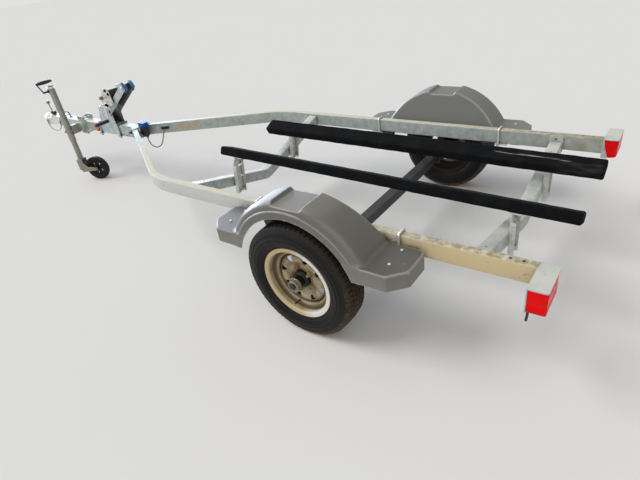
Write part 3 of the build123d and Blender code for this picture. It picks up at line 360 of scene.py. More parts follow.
rusty_steel = finish("bare steel, rusted brown", "#94815a", 0.6, 0.2, [
    ("#614a2e", 0.85, 0.0, (patches, 6, 0.5, 0.68, 5)),
    ("#9c8458", 0.8, 0.0, (patches, 9, 0.58, 0.7, 5)),
], [(2.5, 0.3, 0.7, 3, 0.05)])
print("steel finishes made")

# %% [markdown]
# ## Plastic, rubber and cloth finishes
# The fenders are rotationally moulded polyethylene, a warm dark grey with the fine
# grain of the mould, pale dust in its low places and a painted highlight along its
# convex edges. Tyres are black rubber with tan road dust on the tread. The bunks wear
# needled carpet, with a painted sheen at the rear end of the right bunk's top, and the
# lamps are acrylic.

# %% Plastic, rubber, cloth
moulded = finish("moulded polyethylene, dusty", "#5c5a55", 0.32, 0.0, [
    ("#646159", 0.36, 0.0, (patches, 160, 0.35, 0.7)),
    ("#4d4b45", 0.45, 0.0, (facing, Z, 0.8, 0.99), (toward, Z, 0.46, 0.44)),
    ("#77746c", 0.6, 0.0, (facing, Z, 0.75, 0.98), (toward, Z, 0.59, 0.61)),
    ("#77746d", 0.6, 0.0, (facing, Y, 0.3, 0.8), (toward, Z, 0.5, 0.38)),
    ("#6a6c68", 0.5, 0.0, (toward, Y, -0.3, -0.5)),
    ("#7f7b71", 0.6, 0.0, (patches, 34, 0.66, 0.85, 6)),
    # Painted highlight: a pale line along the convex edges and crests
    ("#8d8a83", 0.42, 0.0, (painted_edge_highlight, 0.515, 0.535)),
], [(1.8, 0.3, 0.7, 2, 0.05)], shine=0.7)

tyre_rubber = finish("tyre rubber, dusty", "#0a0a0b", 0.45, 0.0, [
    ("#171513", 0.6, 0.0, (patches, 50, 0.45, 0.8)),
    ("#3a2c1b", 0.9, 0.0, (in_gaps, 0.012, 0.1, 0.55), (patches, 18, 0.35, 0.65)),
], [(1.4, 0.3, 0.7, 3, 0.05)], shine=0.2)

tread_rubber = finish("tyre rubber, brown with road dust", "#1a1613", 0.8, 0.0, [
    ("#4a3a27", 0.9, 0.0, (toward, Z, 0.42, 0.12), (patches, 26, 0.3, 0.6)),
    ("#5d4a30", 0.9, 0.0, (toward, Z, 0.4, 0.2), (patches, 9, 0.5, 0.7, 6)),
], [(1.4, 0.3, 0.7, 3, 0.05)], shine=0.3)

solid_rubber = finish("solid black rubber", "#0c0c0d", 0.5, 0.0, [
    ("#1d1b18", 0.75, 0.0, (patches, 24, 0.5, 0.75)),
], [(1.5, 0.3, 0.7, 3, 0.05)], shine=0.25)
red_acrylic = mottled("red acrylic lens", "#ea0304", 0.25, 60, "#cf0608", 0.3, shine=0.1)
amber_acrylic = mottled("amber acrylic reflector", "#ea7a2c", 0.2, 12, "#c96a2b", 0.35)

carpet = finish("needled carpet", "#0e0f11", 0.97, 0.0, [
    ("#17191a", 0.98, 0.0, (patches, 80, 0.5, 0.7, 5)),
    ("#232422", 1.0, 0.0, (patches, 3, 0.6, 0.75, 3)),
    ("#8f8f88", 0.9, 0.0, (toward, Y, -0.2105, -0.2125), (toward, Y, -0.2195, -0.2175),
     (toward, X, -1.72, -1.8), (toward, X, -2.1, -2.07), (patches, 5, 0.47, 0.55, 4, (0.05, 1, 1))),
    # Painted sheen: a lighter patch on the rear end of the right bunk's top
    ("#34352f", 0.9, 0.0, (toward, Y, -0.222, -0.208), (toward, X, -2.0, -2.12),
     (toward, X, -2.228, -2.21), (toward, Y, -0.12, -0.15), (patches, 22, 0.4, 0.7, 4, (0.3, 1, 1))),
], [(2.2, 0.25, 0.75, 3, 0.8)], shine=0.1)

blue_nylon = mottled("blue polyamide", "#084d9c", 0.45, 10, "#2462a4", 0.55, shine=0.2)
black_nylon = mottled("black polyamide", "#141517", 0.4, 10, "#26282a", 0.55)
teal_rubber = finish("blue-green polyurethane, worn", "#1b567d", 0.45, 0.0, [
    ("#2f6d8c", 0.6, 0.0, (patches, 16, 0.4, 0.7, 5)),
    ("#7f9099", 0.75, 0.0, (patches, 9, 0.62, 0.74, 6)),
], [(5, 0.3, 0.7, 4, 0.1)])
strap_webbing = finish("black polyester webbing", "#17181a", 0.85, 0.0, [
    ("#2b2b2a", 0.9, 0.0, (patches, 3, 0.5, 0.7, 3)),
], [(2, 0.3, 0.7, 2, (1, 0.3, 1), 0.2)])
cable_skin = mottled("grey PVC sheath", "#5c5f60", 0.45, 20, "#77756c", 0.6)
black_sheath = mottled("black PVC sheath", "#151618", 0.4, 20, "#2a2926", 0.6)
blank_label = finish("blank anodised label", "#aaa490", 0.55, 0.1, [
    ("#b9b39d", 0.65, 0.0, (patches, 26, 0.4, 0.7)),
])
print("plastic, rubber and cloth finishes made")

# %% [markdown]
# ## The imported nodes
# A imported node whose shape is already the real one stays, with its finish from here and
# a broken edge from further on. The others are stood in for by pieces further on.

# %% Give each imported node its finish
BY_SLOT = {
    "galvanised": galvanised, "zinc": bright_zinc, "black_steel": black_enamel,
    "rim_paint": cream_enamel, "tyre_rubber": tyre_rubber, "solid_rubber": solid_rubber,
    "fender_plastic": moulded, "lens_red": red_acrylic, "reflector_amber": amber_acrylic,
    "bunk_carpet": carpet, "plug_plastic": blue_nylon, "cable_sheath": cable_skin,
    "label": blank_label,
}
slot_of = {row["node"]: row["material_slot"] for row in frame["record"]["subparts"]}
for name, node in nodes.items():
    look = BY_SLOT[slot_of[name]]
    if name.startswith("bunk_posts"):
        look = post_zinc
    if name in ("winch_foot", "winch_arm"):
        look = winch_steel
    node.data.materials.clear()
    node.data.materials.append(look)
print("finishes on", len(nodes), "nodes")


# %% [markdown]
# ## How parts are made
# Most of the trailer is bent sheet, tube, turned parts and bolts, so a few makers
# cover it. A part is a list of points in the drawing's millimetres and a list of faces.
# The first makers lay a skin over loops, and carry a section along a path with rounded
# bends, which gives rods and tubes.

# %% Skins, sweeps and tubes
LEFTWARD, UP, DOWN = (0, 1, 0), (0, 0, 1), (0, 0, -1)
# How a sheet's drawing lies: flat on the floor's plane, standing along the trailer with
# its thickness across, or standing across the trailer with its thickness along
FLAT = Matrix.Identity(4)
SIDEWAYS = Matrix(((1, 0, 0, 0), (0, 0, 1, 0), (0, 1, 0, 0), (0, 0, 0, 1)))
ACROSS = Matrix(((0, 0, 1, 0), (1, 0, 0, 0), (0, 1, 0, 0), (0, 0, 0, 1)))
WASHER_THICK = 1.6


def stitched(loops, ring=False, ends=True):
    """A skin over loops of equal length. ring joins the last loop to the first."""
    size, count = len(loops[0]), len(loops)
    points = [tuple(p) for loop in loops for p in loop]
    faces = []
    for i in range(count if ring else count - 1):
        a, b = i * size, (i + 1) % count * size
        faces += [(a + j, a + (j + 1) % size, b + (j + 1) % size, b + j) for j in range(size)]
    if ends and not ring:
        faces += [tuple(range(size)), tuple(range((count - 1) * size, count * size))]
    return points, faces


def joined(*parts):
    points, faces = [], []
    for more, skins in parts:
        faces += [tuple(i + len(points) for i in face) for face in skins]
        points += more
    return points, faces


def moved(part, matrix):
    return [tuple(matrix @ Vector(p)) for p in part[0]], part[1]


def other_side(part):
    """The same part on the trailer's right."""
    return [(x, -y, z) for x, y, z in part[0]], [face[::-1] for face in part[1]]


def both_sides(*parts):
    return [*parts, *[other_side(part) for part in parts]]


def tube(outer, inner, size):
    """A hollow tube: two swept skins of size points a loop, whose end faces become rims."""
    rims = [stitched([outer[0][start:start + size], inner[0][start:start + size]], ends=False)
            for start in (0, len(outer[0]) - size)]
    return joined(*[(points, faces[:-2]) for points, faces in (outer, inner)], *rims)


def rounded(path, radius, steps=6, close=False):
    """The path with an arc at each corner, as far as the runs leave room."""
    path = [Vector(p) for p in path]
    made = []
    for i, p in enumerate(path):
        if not close and i in (0, len(path) - 1):
            made.append(p)
            continue
        before, after = path[i - 1] - p, path[(i + 1) % len(path)] - p
        angle = before.angle(after)
        if angle > math.radians(179) or angle < 0.01:
            made.append(p)
            continue
        room = min(before.length, after.length) * 0.49
        cut = min(radius / math.tan(angle / 2), room)
        r = cut * math.tan(angle / 2)
        middle = p + (before.normalized() + after.normalized()).normalized() * r / math.sin(angle / 2)
        a, b = p + before.normalized() * cut - middle, p + after.normalized() * cut - middle
        sweep = a.angle(b)
        for k in range(steps + 1):
            made.append(middle + (a * math.sin(sweep * (1 - k / steps))
                                  + b * math.sin(sweep * k / steps)) / math.sin(sweep))
    return made


def swept(path, section, up=None, scale=None):
    """The section, points (side, up), carried along the path."""
    path = [Vector(p) for p in path]
    loops, rise = [], Vector(up) if up else None
    for i, p in enumerate(path):
        ahead_of = (path[min(i + 1, len(path) - 1)] - path[max(i - 1, 0)]).normalized()
        if rise is None:
            rise = Vector((0, 0, 1)) if abs(ahead_of.z) < 0.9 else Vector((1, 0, 0))
        side = rise.cross(ahead_of).normalized()
        height = ahead_of.cross(side)
        if up is None:
            rise = height
        k = scale[i] if scale else 1
        loops.append([p + side * a * k + height * b * k for a, b in section])
    return stitched(loops)


def circle(r, steps=16, x=0.0, y=0.0):
    return [(x + r * math.cos(2 * math.pi * k / steps),
             y + r * math.sin(2 * math.pi * k / steps)) for k in range(steps)]


def rod(path, r, bend=0, steps=14):
    return swept(rounded(path, bend) if bend else path, circle(r, steps))


def box_outline(a0, a1, b0, b1, r=0.0, steps=4):
    corners = [(a0, b0), (a1, b0), (a1, b1), (a0, b1)]
    return [tuple(p) for p in rounded(corners, r, steps, True)] if r else corners


def slot_outline(long, wide, steps=8):
    """A hole with round ends."""
    arc = [math.pi * k / steps - math.pi / 2 for k in range(steps + 1)]
    return [(side * ((long - wide) / 2 + wide / 2 * math.cos(a)), side * wide / 2 * math.sin(a))
            for side in (1, -1) for a in arc]


print("sweeps and tubes ready")

# %% [markdown]
# ## Sheet, turned parts, bolts and welds
# Sheet is an outline with holes, given its thickness. A folded sheet is drawn from its
# end, as a line of bends that gets the steel's thickness on both sides. A lathe turns a
# profile of radii round an axis. A bolt is a hexagon on its washer, and a weld is a
# thin rod that swells and narrows as the puddle did.

# %% Sheet, turned parts, bolts and welds
def axes(origin, u, v):
    """A frame whose first two axes run along u and v."""
    u = Vector(u).normalized()
    w = u.cross(Vector(v)).normalized()
    made = Matrix((u, w.cross(u), w)).transposed().to_4x4()
    made.translation = Vector(origin)
    return made


def plate(outline, low, high, frame_of, holes=()):
    """A flat sheet from low to high along the frame's third axis, with holes."""
    loops = [[tuple(p)[:2] for p in loop] for loop in (outline, *holes)]
    flat = [p for loop in loops for p in loop]
    caps = tessellate_polygon([[Vector((*p, 0)) for p in loop] for loop in loops])
    size = len(flat)
    points = [(*p, low) for p in flat] + [(*p, high) for p in flat]
    faces = [tuple(t) for t in caps] + [tuple(i + size for i in t)[::-1] for t in caps]
    start = 0
    for loop in loops:
        n = len(loop)
        faces += [(start + i, start + (i + 1) % n, size + start + (i + 1) % n, size + start + i)
                  for i in range(n)]
        start += n
    return moved((points, faces), frame_of)


def slab(x, y, z, r=0.0, steps=4):
    """A level block from pairs of limits, its upright corners rounded to r."""
    return plate(box_outline(*x, *y, r, steps), *z, FLAT)


def folded(line, thick, bend, steps=4):
    """The outline of sheet bent along a line, thick across it."""
    line = [Vector(p) for p in rounded(line, bend + thick / 2, steps)]
    left, right_side = [], []
    for i, p in enumerate(line):
        along = (line[min(i + 1, len(line) - 1)] - line[max(i - 1, 0)]).normalized()
        out = Vector((-along.y, along.x)) * thick / 2
        left.append(tuple(p + out))
        right_side.append(tuple(p - out))
    return left + right_side[::-1]


def turned(profile, centre, axis, steps=48, ring=False):
    """A lathe: profile points (radius, along the axis)."""
    axis = Vector(axis).normalized()
    side = axis.orthogonal().normalized()
    across = axis.cross(side)
    loops = []
    for r, along in profile:
        loops.append([Vector(centre) + axis * along + (side * a + across * b)
                      for a, b in circle(max(r, 1e-4), steps)])
    return stitched(loops, ring, ends=False)


def round_bar(r, low, high, centre, axis, steps):
    """A plain round pin or disc from low to high along its axis."""
    return turned([(0, low), (r, low), (r, high), (0, high)], centre, axis, steps)


def bolt(seat, axis, across, high, washer=0.0, stud=0.0):
    """A hex head or nut on a seat, with a washer under it and a thread end over it."""
    axis = Vector(axis).normalized()
    base, parts = Vector(seat), []
    if washer:
        parts.append(round_bar(washer, 0, WASHER_THICK, base, axis, 24))
        base = base + axis * WASHER_THICK
    r = across / math.sqrt(3)
    frame_of = axes(base, axis.orthogonal(), axis.cross(axis.orthogonal()))
    rings = [[frame_of @ Vector((x * k, y * k, h)) for x, y in circle(r, 6)]
             for k, h in ((1, 0), (1, high * 0.84), (0.9, high), (0.01, high))]
    parts.append(stitched(rings, ends=False))
    if stud:
        ridges = [(across * 0.3 * (1 if k % 2 else 0.93), high + stud * k / 12) for k in range(13)]
        parts.append(turned([(0, 0), *ridges, (0, high + stud)], base, axis, 16))
    return joined(*parts)


def weld(path, r):
    """A bead laid in steps: a thin rod whose girth swells at each step."""
    path = [Vector(p) for p in path]
    line = []
    for a, b in zip(path, path[1:]):
        count = max(2, int((b - a).length / (r * 0.7)))
        line += [a.lerp(b, k / count) for k in range(count)]
    line.append(path[-1])
    swell = [1 + 0.2 * math.sin(k * 2.1) for k in range(len(line))]
    return swept(line, circle(r, 8), scale=swell)


print("sheet and turned parts ready")

# %% [markdown]
# ## From parts to a piece
# A piece joins parts, each with its finish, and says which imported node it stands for.
# No real edge is sharp, so a narrow bevel breaks each one and catches the light. Most
# pieces come in pairs, so the right one is made from the left one's parts, turned over.

# %% Pieces
def skin(looks):
    """One mesh from (finish, parts) pairs, with its faces turned outward."""
    whole = bmesh.new()
    for index, (look, parts) in enumerate(looks):
        for points, faces in parts:
            part = bmesh.new()
            corners = [part.verts.new(place(*p)) for p in points]
            for face in faces:
                made = part.faces.new([corners[i] for i in face])
                made.material_index = index
                made.smooth = True
            bmesh.ops.remove_doubles(part, verts=part.verts, dist=2e-6)
            bmesh.ops.recalc_face_normals(part, faces=part.faces)
            holder = bpy.data.meshes.new("part")
            part.to_mesh(holder)
            part.free()
            whole.from_mesh(holder)
            bpy.data.meshes.remove(holder)
    mesh = bpy.data.meshes.new("piece")
    whole.to_mesh(mesh)
    whole.free()
    for look, _ in looks:
        mesh.materials.append(look)
    return mesh


def settled(made):
    """The piece's mesh with its modifiers worked in."""
    graph = bpy.context.evaluated_depsgraph_get()
    mesh = bpy.data.meshes.new_from_object(made.evaluated_get(graph))
    made.modifiers.clear()
    made.data = mesh


def take_away(made, parts):
    """The parts are cut out of a piece."""
    for part in parts:
        tool = put("tool", skin([(made.data.materials[0], [part])]))
        taking = made.modifiers.new("cut", "BOOLEAN")
        taking.object, taking.solver, taking.operation = tool, "EXACT", "DIFFERENCE"
        settled(made)
        bpy.data.objects.remove(tool)


def edged(made, edge, sharp):
    """Smooth over gentle turns, and an edge broken by so many millimetres where the
    surface turns by more degrees than sharp."""
    made.data.shade_smooth()
    made.data.set_sharp_from_angle(angle=math.radians(sharp))
    if edge:
        bevel = made.modifiers.new("edges", "BEVEL")
        bevel.width, bevel.segments, bevel.limit_method = edge * MM, 2, "ANGLE"
        bevel.angle_limit = math.radians(sharp)
        bevel.harden_normals = True


def soften(names, edge, sharp=30):
    """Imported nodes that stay: their edges are broken as a file or a die breaks them."""
    for name in names:
        edged(nodes[name], edge, sharp)


def bound(made, body, stands_for):
    """The body that a piece rides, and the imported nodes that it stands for."""
    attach(made, body)
    if stands_for:
        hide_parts(*stands_for)


def piece(name, body, looks, stands_for, edge, cuts=(), sharp=32):
    """A finished piece. edge is the bevel in millimetres, cuts are parts taken away."""
    made = put(name, skin(looks))
    take_away(made, cuts)
    edged(made, edge, sharp)
    bound(made, body, stands_for)
    return made


def pair(name, body, looks, stands_for, edge, cuts=(), sharp=32):
    """A piece for each side from the left one's parts. SIDE in a name is left or right."""
    made = []
    for side, turn_part in (("left", lambda part: part), ("right", other_side)):
        made.append(piece(name.replace("SIDE", side), body.replace("SIDE", side),
                          [(look, [turn_part(part) for part in parts]) for look, parts in looks],
                          [node.replace("SIDE", side) for node in stands_for], edge,
                          [turn_part(part) for part in cuts], sharp))
    return made


print("makers ready")

# %% [markdown]
# ## The wiring cable and the safety cable
# Two cords hang free. The grey wiring cable leaves its plug, loops under the tongue and
# goes into the frame. The black safety cable hangs between two lugs on the coupler. A
# cord is one smooth curve: a NURBS spline drawn toward a few given points, with
# a round bevel for its sheath, so it bends as cable does and has no kinks.

# %% Cords
CORDS = (
    ("wiring_cord", "wiring_cable", cable_skin, 0.008, 0.3267, (
        (2052, -4, 388), (2052, -4, 350), (2032, -12, 318), (1998, -28, 306), (1964, -46, 326),
        (1946, -62, 376), (1942.79, -88.59, 434), (1972.90, -141.63, 434))),
    ("safety_cord", "safety_cable", black_sheath, 0.006, 0.3253, (
        (3452, 49, 430), (3452, 49, 396), (3430, 52, 368), (3392, 54, 350), (3340, 54, 346),
        (3288, 54, 352), (3250, 52, 372), (3230, 47, 402), (3230, 47, 436))),
)
for name, node, look, thick, long, route in CORDS:
    line = bpy.data.curves.new(name, "CURVE")
    line.dimensions = "3D"
    line.bevel_depth = thick / 2
    line.bevel_resolution = 4
    line.resolution_u = 12
    line.use_fill_caps = True
    spline = line.splines.new("NURBS")
    spline.points.add(len(route) - 1)
    for point, spot in zip(spline.points, route):
        point.co = (*place(*spot), 1)
    spline.order_u = 3
    spline.use_endpoint_u = True
    line.materials.append(look)
    cord = put(name, line)
    bound(cord, "frame", [node])
print("cords:", [(row[0], row[4]) for row in CORDS])

# %% [markdown]
# ## The frame rails
# Each rail is one length of 38 by 76 mm tube, rolled round a former where it turns in
# toward the tongue and mitred to lie flat on its side. A tube's corners are never sharp:
# the seam mill leaves about twice the wall as a radius. The section is swept along the
# line of the bend, then the oval cable slot and the two bolt holes are cut through.
# Where tube meets tube there is a bead of weld, which the zinc later covers.

# %% Rails
RAIL_Y, RAIL_LOW, RAIL_TOP, RAIL_REAR = 579, 394, 470, -868
BEND_X, BEND_R, CROSS_X, TONGUE_Y, END_GAP = 1170, 450, 2190, 35, 0.6
RAIL_Z = (RAIL_LOW + RAIL_TOP) / 2
BOLT_HOLES_X, BOLT_HOLE_R, SLOT_X, BEAD_R = (-778, -822), 6, 1965, 2.6
SLOPE = RAIL_Y / (CROSS_X - BEND_X)
DRAW_ANGLE = math.atan(SLOPE)


def along_draw(x, off):
    """A plan point beside the rail's slanted run, off outward from its middle."""
    return x + off * math.sin(DRAW_ANGLE), (CROSS_X - x) * SLOPE + off * math.cos(DRAW_ANGLE)


rail_line = rounded([(RAIL_REAR, RAIL_Y, RAIL_Z), (BEND_X, RAIL_Y, RAIL_Z), (CROSS_X, 0, RAIL_Z)],
                    BEND_R, 26)
rail_line[1:1] = [Vector((x, RAIL_Y, RAIL_Z)) for x in range(-700, 1000, 240)]
outside = box_outline(-19, 19, -38, 38, 6)
inside = box_outline(-16, 16, -35, 35, 3)


def rail_skin(section):
    """The swept tube, its front end sheared onto the tongue's side."""
    points, faces = swept(rail_line, section, up=UP)
    for i in range(len(points) - len(section), len(points)):
        x, y, z = points[i]
        points[i] = (x - (TONGUE_Y - END_GAP - y) / SLOPE, TONGUE_Y - END_GAP, z)
    return points, faces


slot_face = axes((*along_draw(SLOT_X, -22), 434), (math.cos(DRAW_ANGLE), -math.sin(DRAW_ANGLE), 0), UP)
rail_cuts = [plate(slot_outline(72, 22), -9, 9, slot_face)]
rail_cuts += [round_bar(BOLT_HOLE_R, -9, 9, (x, RAIL_Y, RAIL_TOP - 2), UP, 24)
              for x in BOLT_HOLES_X]
rail_tube = tube(rail_skin(outside), rail_skin(inside), len(outside))
rail_welds = []
for off in (-19, 19):
    x, y = along_draw(CROSS_X, off)
    foot_x = x + (y - TONGUE_Y) / SLOPE
    rail_welds.append(weld([(foot_x, TONGUE_Y + 2, z) for z in (RAIL_LOW + 4, RAIL_TOP - 4)], 3.2))
pair("rail_tube_SIDE", "frame", [(rail_steel, [rail_tube])], ["rail_SIDE"], 0,
     rail_cuts, 50)
piece("rail_welds", "frame", [(galvanised, both_sides(*rail_welds))], (), 0)
print("rails: bend of", round(math.degrees(DRAW_ANGLE), 1), "degrees")

# %% [markdown]
# ## The tongue and its gussets
# The tongue is a 70 by 76 mm tube, open at its rear end, with a triangular hole cut
# through both sides just ahead of the rails' ends. Two flat gussets tie the tubes
# together, over and under, with a bead run along the edges of the upper one.

# %% Tongue
TONGUE_BACK, TONGUE_FRONT, GUSSET_THICK = 2075, 3262, 4
tongue_run = [(x, 0, RAIL_Z) for x in (TONGUE_BACK, 2700, TONGUE_FRONT)]
sections = box_outline(-35, 35, -38, 38, 7), box_outline(-31.5, 31.5, -34.5, 34.5, 3.5)
tongue_tube = tube(*[swept(tongue_run, section, up=UP) for section in sections], len(sections[0]))
triangle = rounded([(2172, 416), (2240, 416), (2172, 446)], 4, 4, True)
piece("tongue_tube", "frame", [(galvanised, [tongue_tube])], ["tongue"], 0,
      [plate(triangle, 60, -60, SIDEWAYS)], 50)

gusset_plan = [(2290, 35), (2166.8, 35), (2085, 81.4), (2085, -81.4), (2166.8, -35), (2290, -35)]
gussets = [plate(rounded(gusset_plan, 6, 4, True), low, low + GUSSET_THICK, FLAT)
           for low in (RAIL_TOP, RAIL_LOW - GUSSET_THICK)]
bead_z = RAIL_TOP + GUSSET_THICK / 2
gussets += both_sides(weld([(2286, 34, bead_z), (2168, 34, bead_z), (2088, 79, bead_z)], BEAD_R))
gussets.append(weld([(2086, -78, bead_z), (2086, 78, bead_z)], BEAD_R))
piece("gusset_plates", "frame", [(galvanised, gussets)], ["gussets"], 0.5)
print("tongue", TONGUE_FRONT - TONGUE_BACK, "mm long")

# %% [markdown]
# ## Crossmembers
# Both crossmembers are lipped channels of 3 mm sheet, folded on a press brake and then
# bent to a shallow V so that a hull clears them. They are open at the front, and each
# end has a tab against the rail, with the end of a screw deep in its hole. The section
# is one folded line, carried across.

# %% Crossmembers
def channel_section(width, height, lip, thick, bend):
    """A lipped channel seen along its run: web at 0, open toward width, top at 0."""
    h = thick / 2
    line = [(width - h, -lip), (width - h, -h), (h, -h), (h, h - height), (width - h, h - height),
            (width - h, lip - height)]
    return folded(line, thick, bend)


TAB_Y, SCREW_Z, DRAIN_R, DRAIN_Y = 556, 448, 6, 470
CROSSMEMBERS = (("rear", -690, 314, 435.2, -658), ("front", 860, 302, 457.7, 888))
for name, web, middle, end, hole_x in CROSSMEMBERS:
    rise = (end - middle) / TAB_Y
    stations = sorted({s * y for s in (1, -1) for y in (0, 8, 16, 30, 60, 150, 300, 450, TAB_Y)})
    section = channel_section(60, 60, 14, 3, 3)
    channel = stitched([[(web + a, y, middle + b + rise * math.hypot(y, 10)) for a, b in section]
                        for y in stations])
    tab = plate(box_outline(web - 4, web + 64, 380, 466, 9), TAB_Y, TAB_Y + 3.9, SIDEWAYS,
                [circle(6, 20, hole_x, SCREW_Z)])
    screw_end = plate(circle(6.6, 20, hole_x, SCREW_Z), TAB_Y + 2, TAB_Y + 3.7, SIDEWAYS)
    beads = [weld([(web + x, TAB_Y - 1, end - 2) for x in (2, 58)], BEAD_R),
             weld([(web - 1, TAB_Y - 1, z) for z in (end - 3, max(382, end - 56))], BEAD_R)]
    drains = [round_bar(DRAIN_R, -9, 9, (web + 30, s * DRAIN_Y, middle + rise * DRAIN_Y), UP, 20)
              for s in (1, -1)]
    piece("crossmember_channel_" + name, "frame",
          [(galvanised, [channel, *both_sides(tab, *beads)]), (greasy_black, both_sides(screw_end))],
          ["crossmember_" + name], 0.5, drains)
print("crossmembers folded from 3 mm sheet")

# %% [markdown]
# ## The fenders
# A fender is one rotational moulding. The plastic melts against the inside of a steel
# mould, so it has the same wall all over, no sharp edge anywhere, and draft on its
# sides. Its form is a union of three: a flat deck with cut corners, a low arch out to
# the edge, and a higher, narrower arch with a big soft shoulder and a dished top. Here
# the form is a formula that gives the distance to the surface, in which soft unions and
# soft cuts make the mould's radii, and a skin is laid on it point by point. The wall is
# then given its 3 mm, and the wheel opening is cut.

# %% Fender form
FENDER_IN, FENDER_OUT, FENDER_HALF, AXLE_Z = 612, 821, 491, 269
DECK, SKIRT, LEDGE_R, HUMP_R, DISH_Z = 440, 372, 336, 372, 618
DISH_HALF, LEDGE_STEP, CORNER_OUT, CORNER_IN = 70, 6, 64, 22
EDGE_R, DECK_R, STEP_R, SHOULDER_R, THROAT_R, FOOT_R = 5, 8, 3.5, 34, 10, 12
DISH_SLOPE, DRAFT_SLOPE, PROBE, RELAX_TURNS = 0.6, 0.24, 0.2, 14


def soft_cut(a, b, r):
    """Inside both, with the edge between them rounded to r."""
    reach = np.hypot(np.maximum(a + r, 0), np.maximum(b + r, 0))
    return np.minimum(np.maximum(a, b), -r) + reach


def soft_join(a, b, r):
    """Inside either, with the corner between them filled to r."""
    return -soft_cut(-a, -b, r)


def fender_field(x, y, z):
    """Millimetres out of the fender's outer surface, negative inside."""
    along, rho = np.abs(x), np.hypot(x, z - AXLE_Z)
    plan = soft_cut(along - FENDER_HALF, y - FENDER_OUT, EDGE_R)
    for side in (y - FENDER_OUT + CORNER_OUT, FENDER_IN - y + CORNER_IN):
        plan = soft_cut(plan, (along - FENDER_HALF + side) / math.sqrt(2), EDGE_R)
    plan = soft_cut(plan, FENDER_IN - y, EDGE_R)
    deck = soft_cut(plan, z - DECK, DECK_R)
    low_arch = soft_cut(rho - LEDGE_R, y - FENDER_OUT, STEP_R)
    hump = soft_cut(rho - HUMP_R, y - (FENDER_OUT - LEDGE_STEP), SHOULDER_R)
    dish_side = (along - DISH_HALF - DISH_SLOPE * (z - DISH_Z)) / math.hypot(1, DISH_SLOPE)
    hump = soft_cut(hump, -soft_cut(dish_side, DISH_Z - z, 2), STEP_R)
    draft = (FENDER_IN + DRAFT_SLOPE * (z - DECK) - y) / math.hypot(1, DRAFT_SLOPE)
    arches = soft_cut(soft_join(low_arch, hump, 3), draft, THROAT_R)
    return soft_join(deck, arches, FOOT_R)


def onto(field, points, turns):
    """The points moved onto the form's surface, each along the field's slope there."""
    points = points.copy()
    for _ in range(turns):
        slope = np.stack([(field(*(points + e).T) - field(*(points - e).T)) / (2 * PROBE)
                          for e in np.eye(3) * PROBE], 1)
        size = np.maximum((slope ** 2).sum(1), 0.2)
        points -= slope * (field(*points.T) / size)[:, None].clip(-5, 5)
    return points


def skin_on(field, lines):
    """A net of quads over a form, evened out by moving each point between its neighbours."""
    value = field(*np.meshgrid(*lines, indexing="ij"))
    inside = value < 0
    count = sum(inside[i:inside.shape[0] - 1 + i, j:inside.shape[1] - 1 + j, k:inside.shape[2] - 1 + k]
                .astype(int) for i in (0, 1) for j in (0, 1) for k in (0, 1))
    mixed = (count > 0) & (count < 8)
    number = np.full(mixed.shape, -1)
    number[mixed] = np.arange(mixed.sum())
    middles = [(line[1:] + line[:-1]) / 2 for line in lines]
    points = onto(field, np.stack([middle[i] for middle, i in zip(middles, np.argwhere(mixed).T)], 1), 7)
    quads = []
    for a in range(3):
        b, c = (a + 1) % 3, (a + 2) % 3
        first, second = np.moveaxis(inside, a, 0)[:-1], np.moveaxis(inside, a, 0)[1:]
        spots = np.argwhere(first != second)
        order = [a] + [k for k in range(3) if k != a]
        cells = np.zeros_like(spots)
        cells[:, order] = spots
        cells = cells[(cells[:, b] > 0) & (cells[:, c] > 0)
                      & (cells[:, b] < mixed.shape[b]) & (cells[:, c] < mixed.shape[c])]
        eb, ec = np.eye(3, dtype=int)[b], np.eye(3, dtype=int)[c]
        ring = [number[tuple(cells.T)], number[tuple((cells - eb).T)],
                number[tuple((cells - eb - ec).T)], number[tuple((cells - ec).T)]]
        quad = np.stack(ring, 1)
        away = inside[tuple(cells.T)]
        quad[~away] = quad[~away][:, ::-1]
        quads += quad[quad.min(1) >= 0].tolist()
    quads = np.array(quads)
    for _ in range(RELAX_TURNS):
        total, met = np.zeros_like(points), np.zeros((len(points), 1))
        for a, b in ((0, 1), (1, 2), (2, 3), (3, 0), (1, 0), (2, 1), (3, 2), (0, 3)):
            np.add.at(total, quads[:, a], points[quads[:, b]])
            np.add.at(met, quads[:, a], 1)
        points = onto(field, np.where(met > 0, total / np.maximum(met, 1), points), 2)
    return [tuple(p) for p in points.tolist()], [tuple(q) for q in quads.tolist()]


def spaced(*stretches):
    """Places along a line, from (start, end, step) stretches."""
    return np.unique(np.concatenate([np.arange(a, b + step / 2, step) for a, b, step in stretches]))


crest = spaced((52, 100, 3))
form = skin_on(fender_field, (
    np.unique(np.concatenate([-crest, crest, spaced((-502, -100, 6), (-52, 52, 8), (100, 502, 6))])),
    spaced((600, 624, 4), (624, 804, 6), (804, 828, 2)),
    spaced((SKIRT - 16, 430, 6), (430, 454, 4), (454, 610, 6), (610, 640, 3), (640, 652, 6))))
print("fender skin:", len(form[1]), "quads")

# %% [markdown]
# ## The fender's wall and opening
# The net becomes a mesh, its open foot is trimmed level, and the wall is laid inside
# it. A round cut on the wheel's axis opens the outer side, and two notches in the inner
# skirt let the brackets pass. The right fender is the left one turned over.

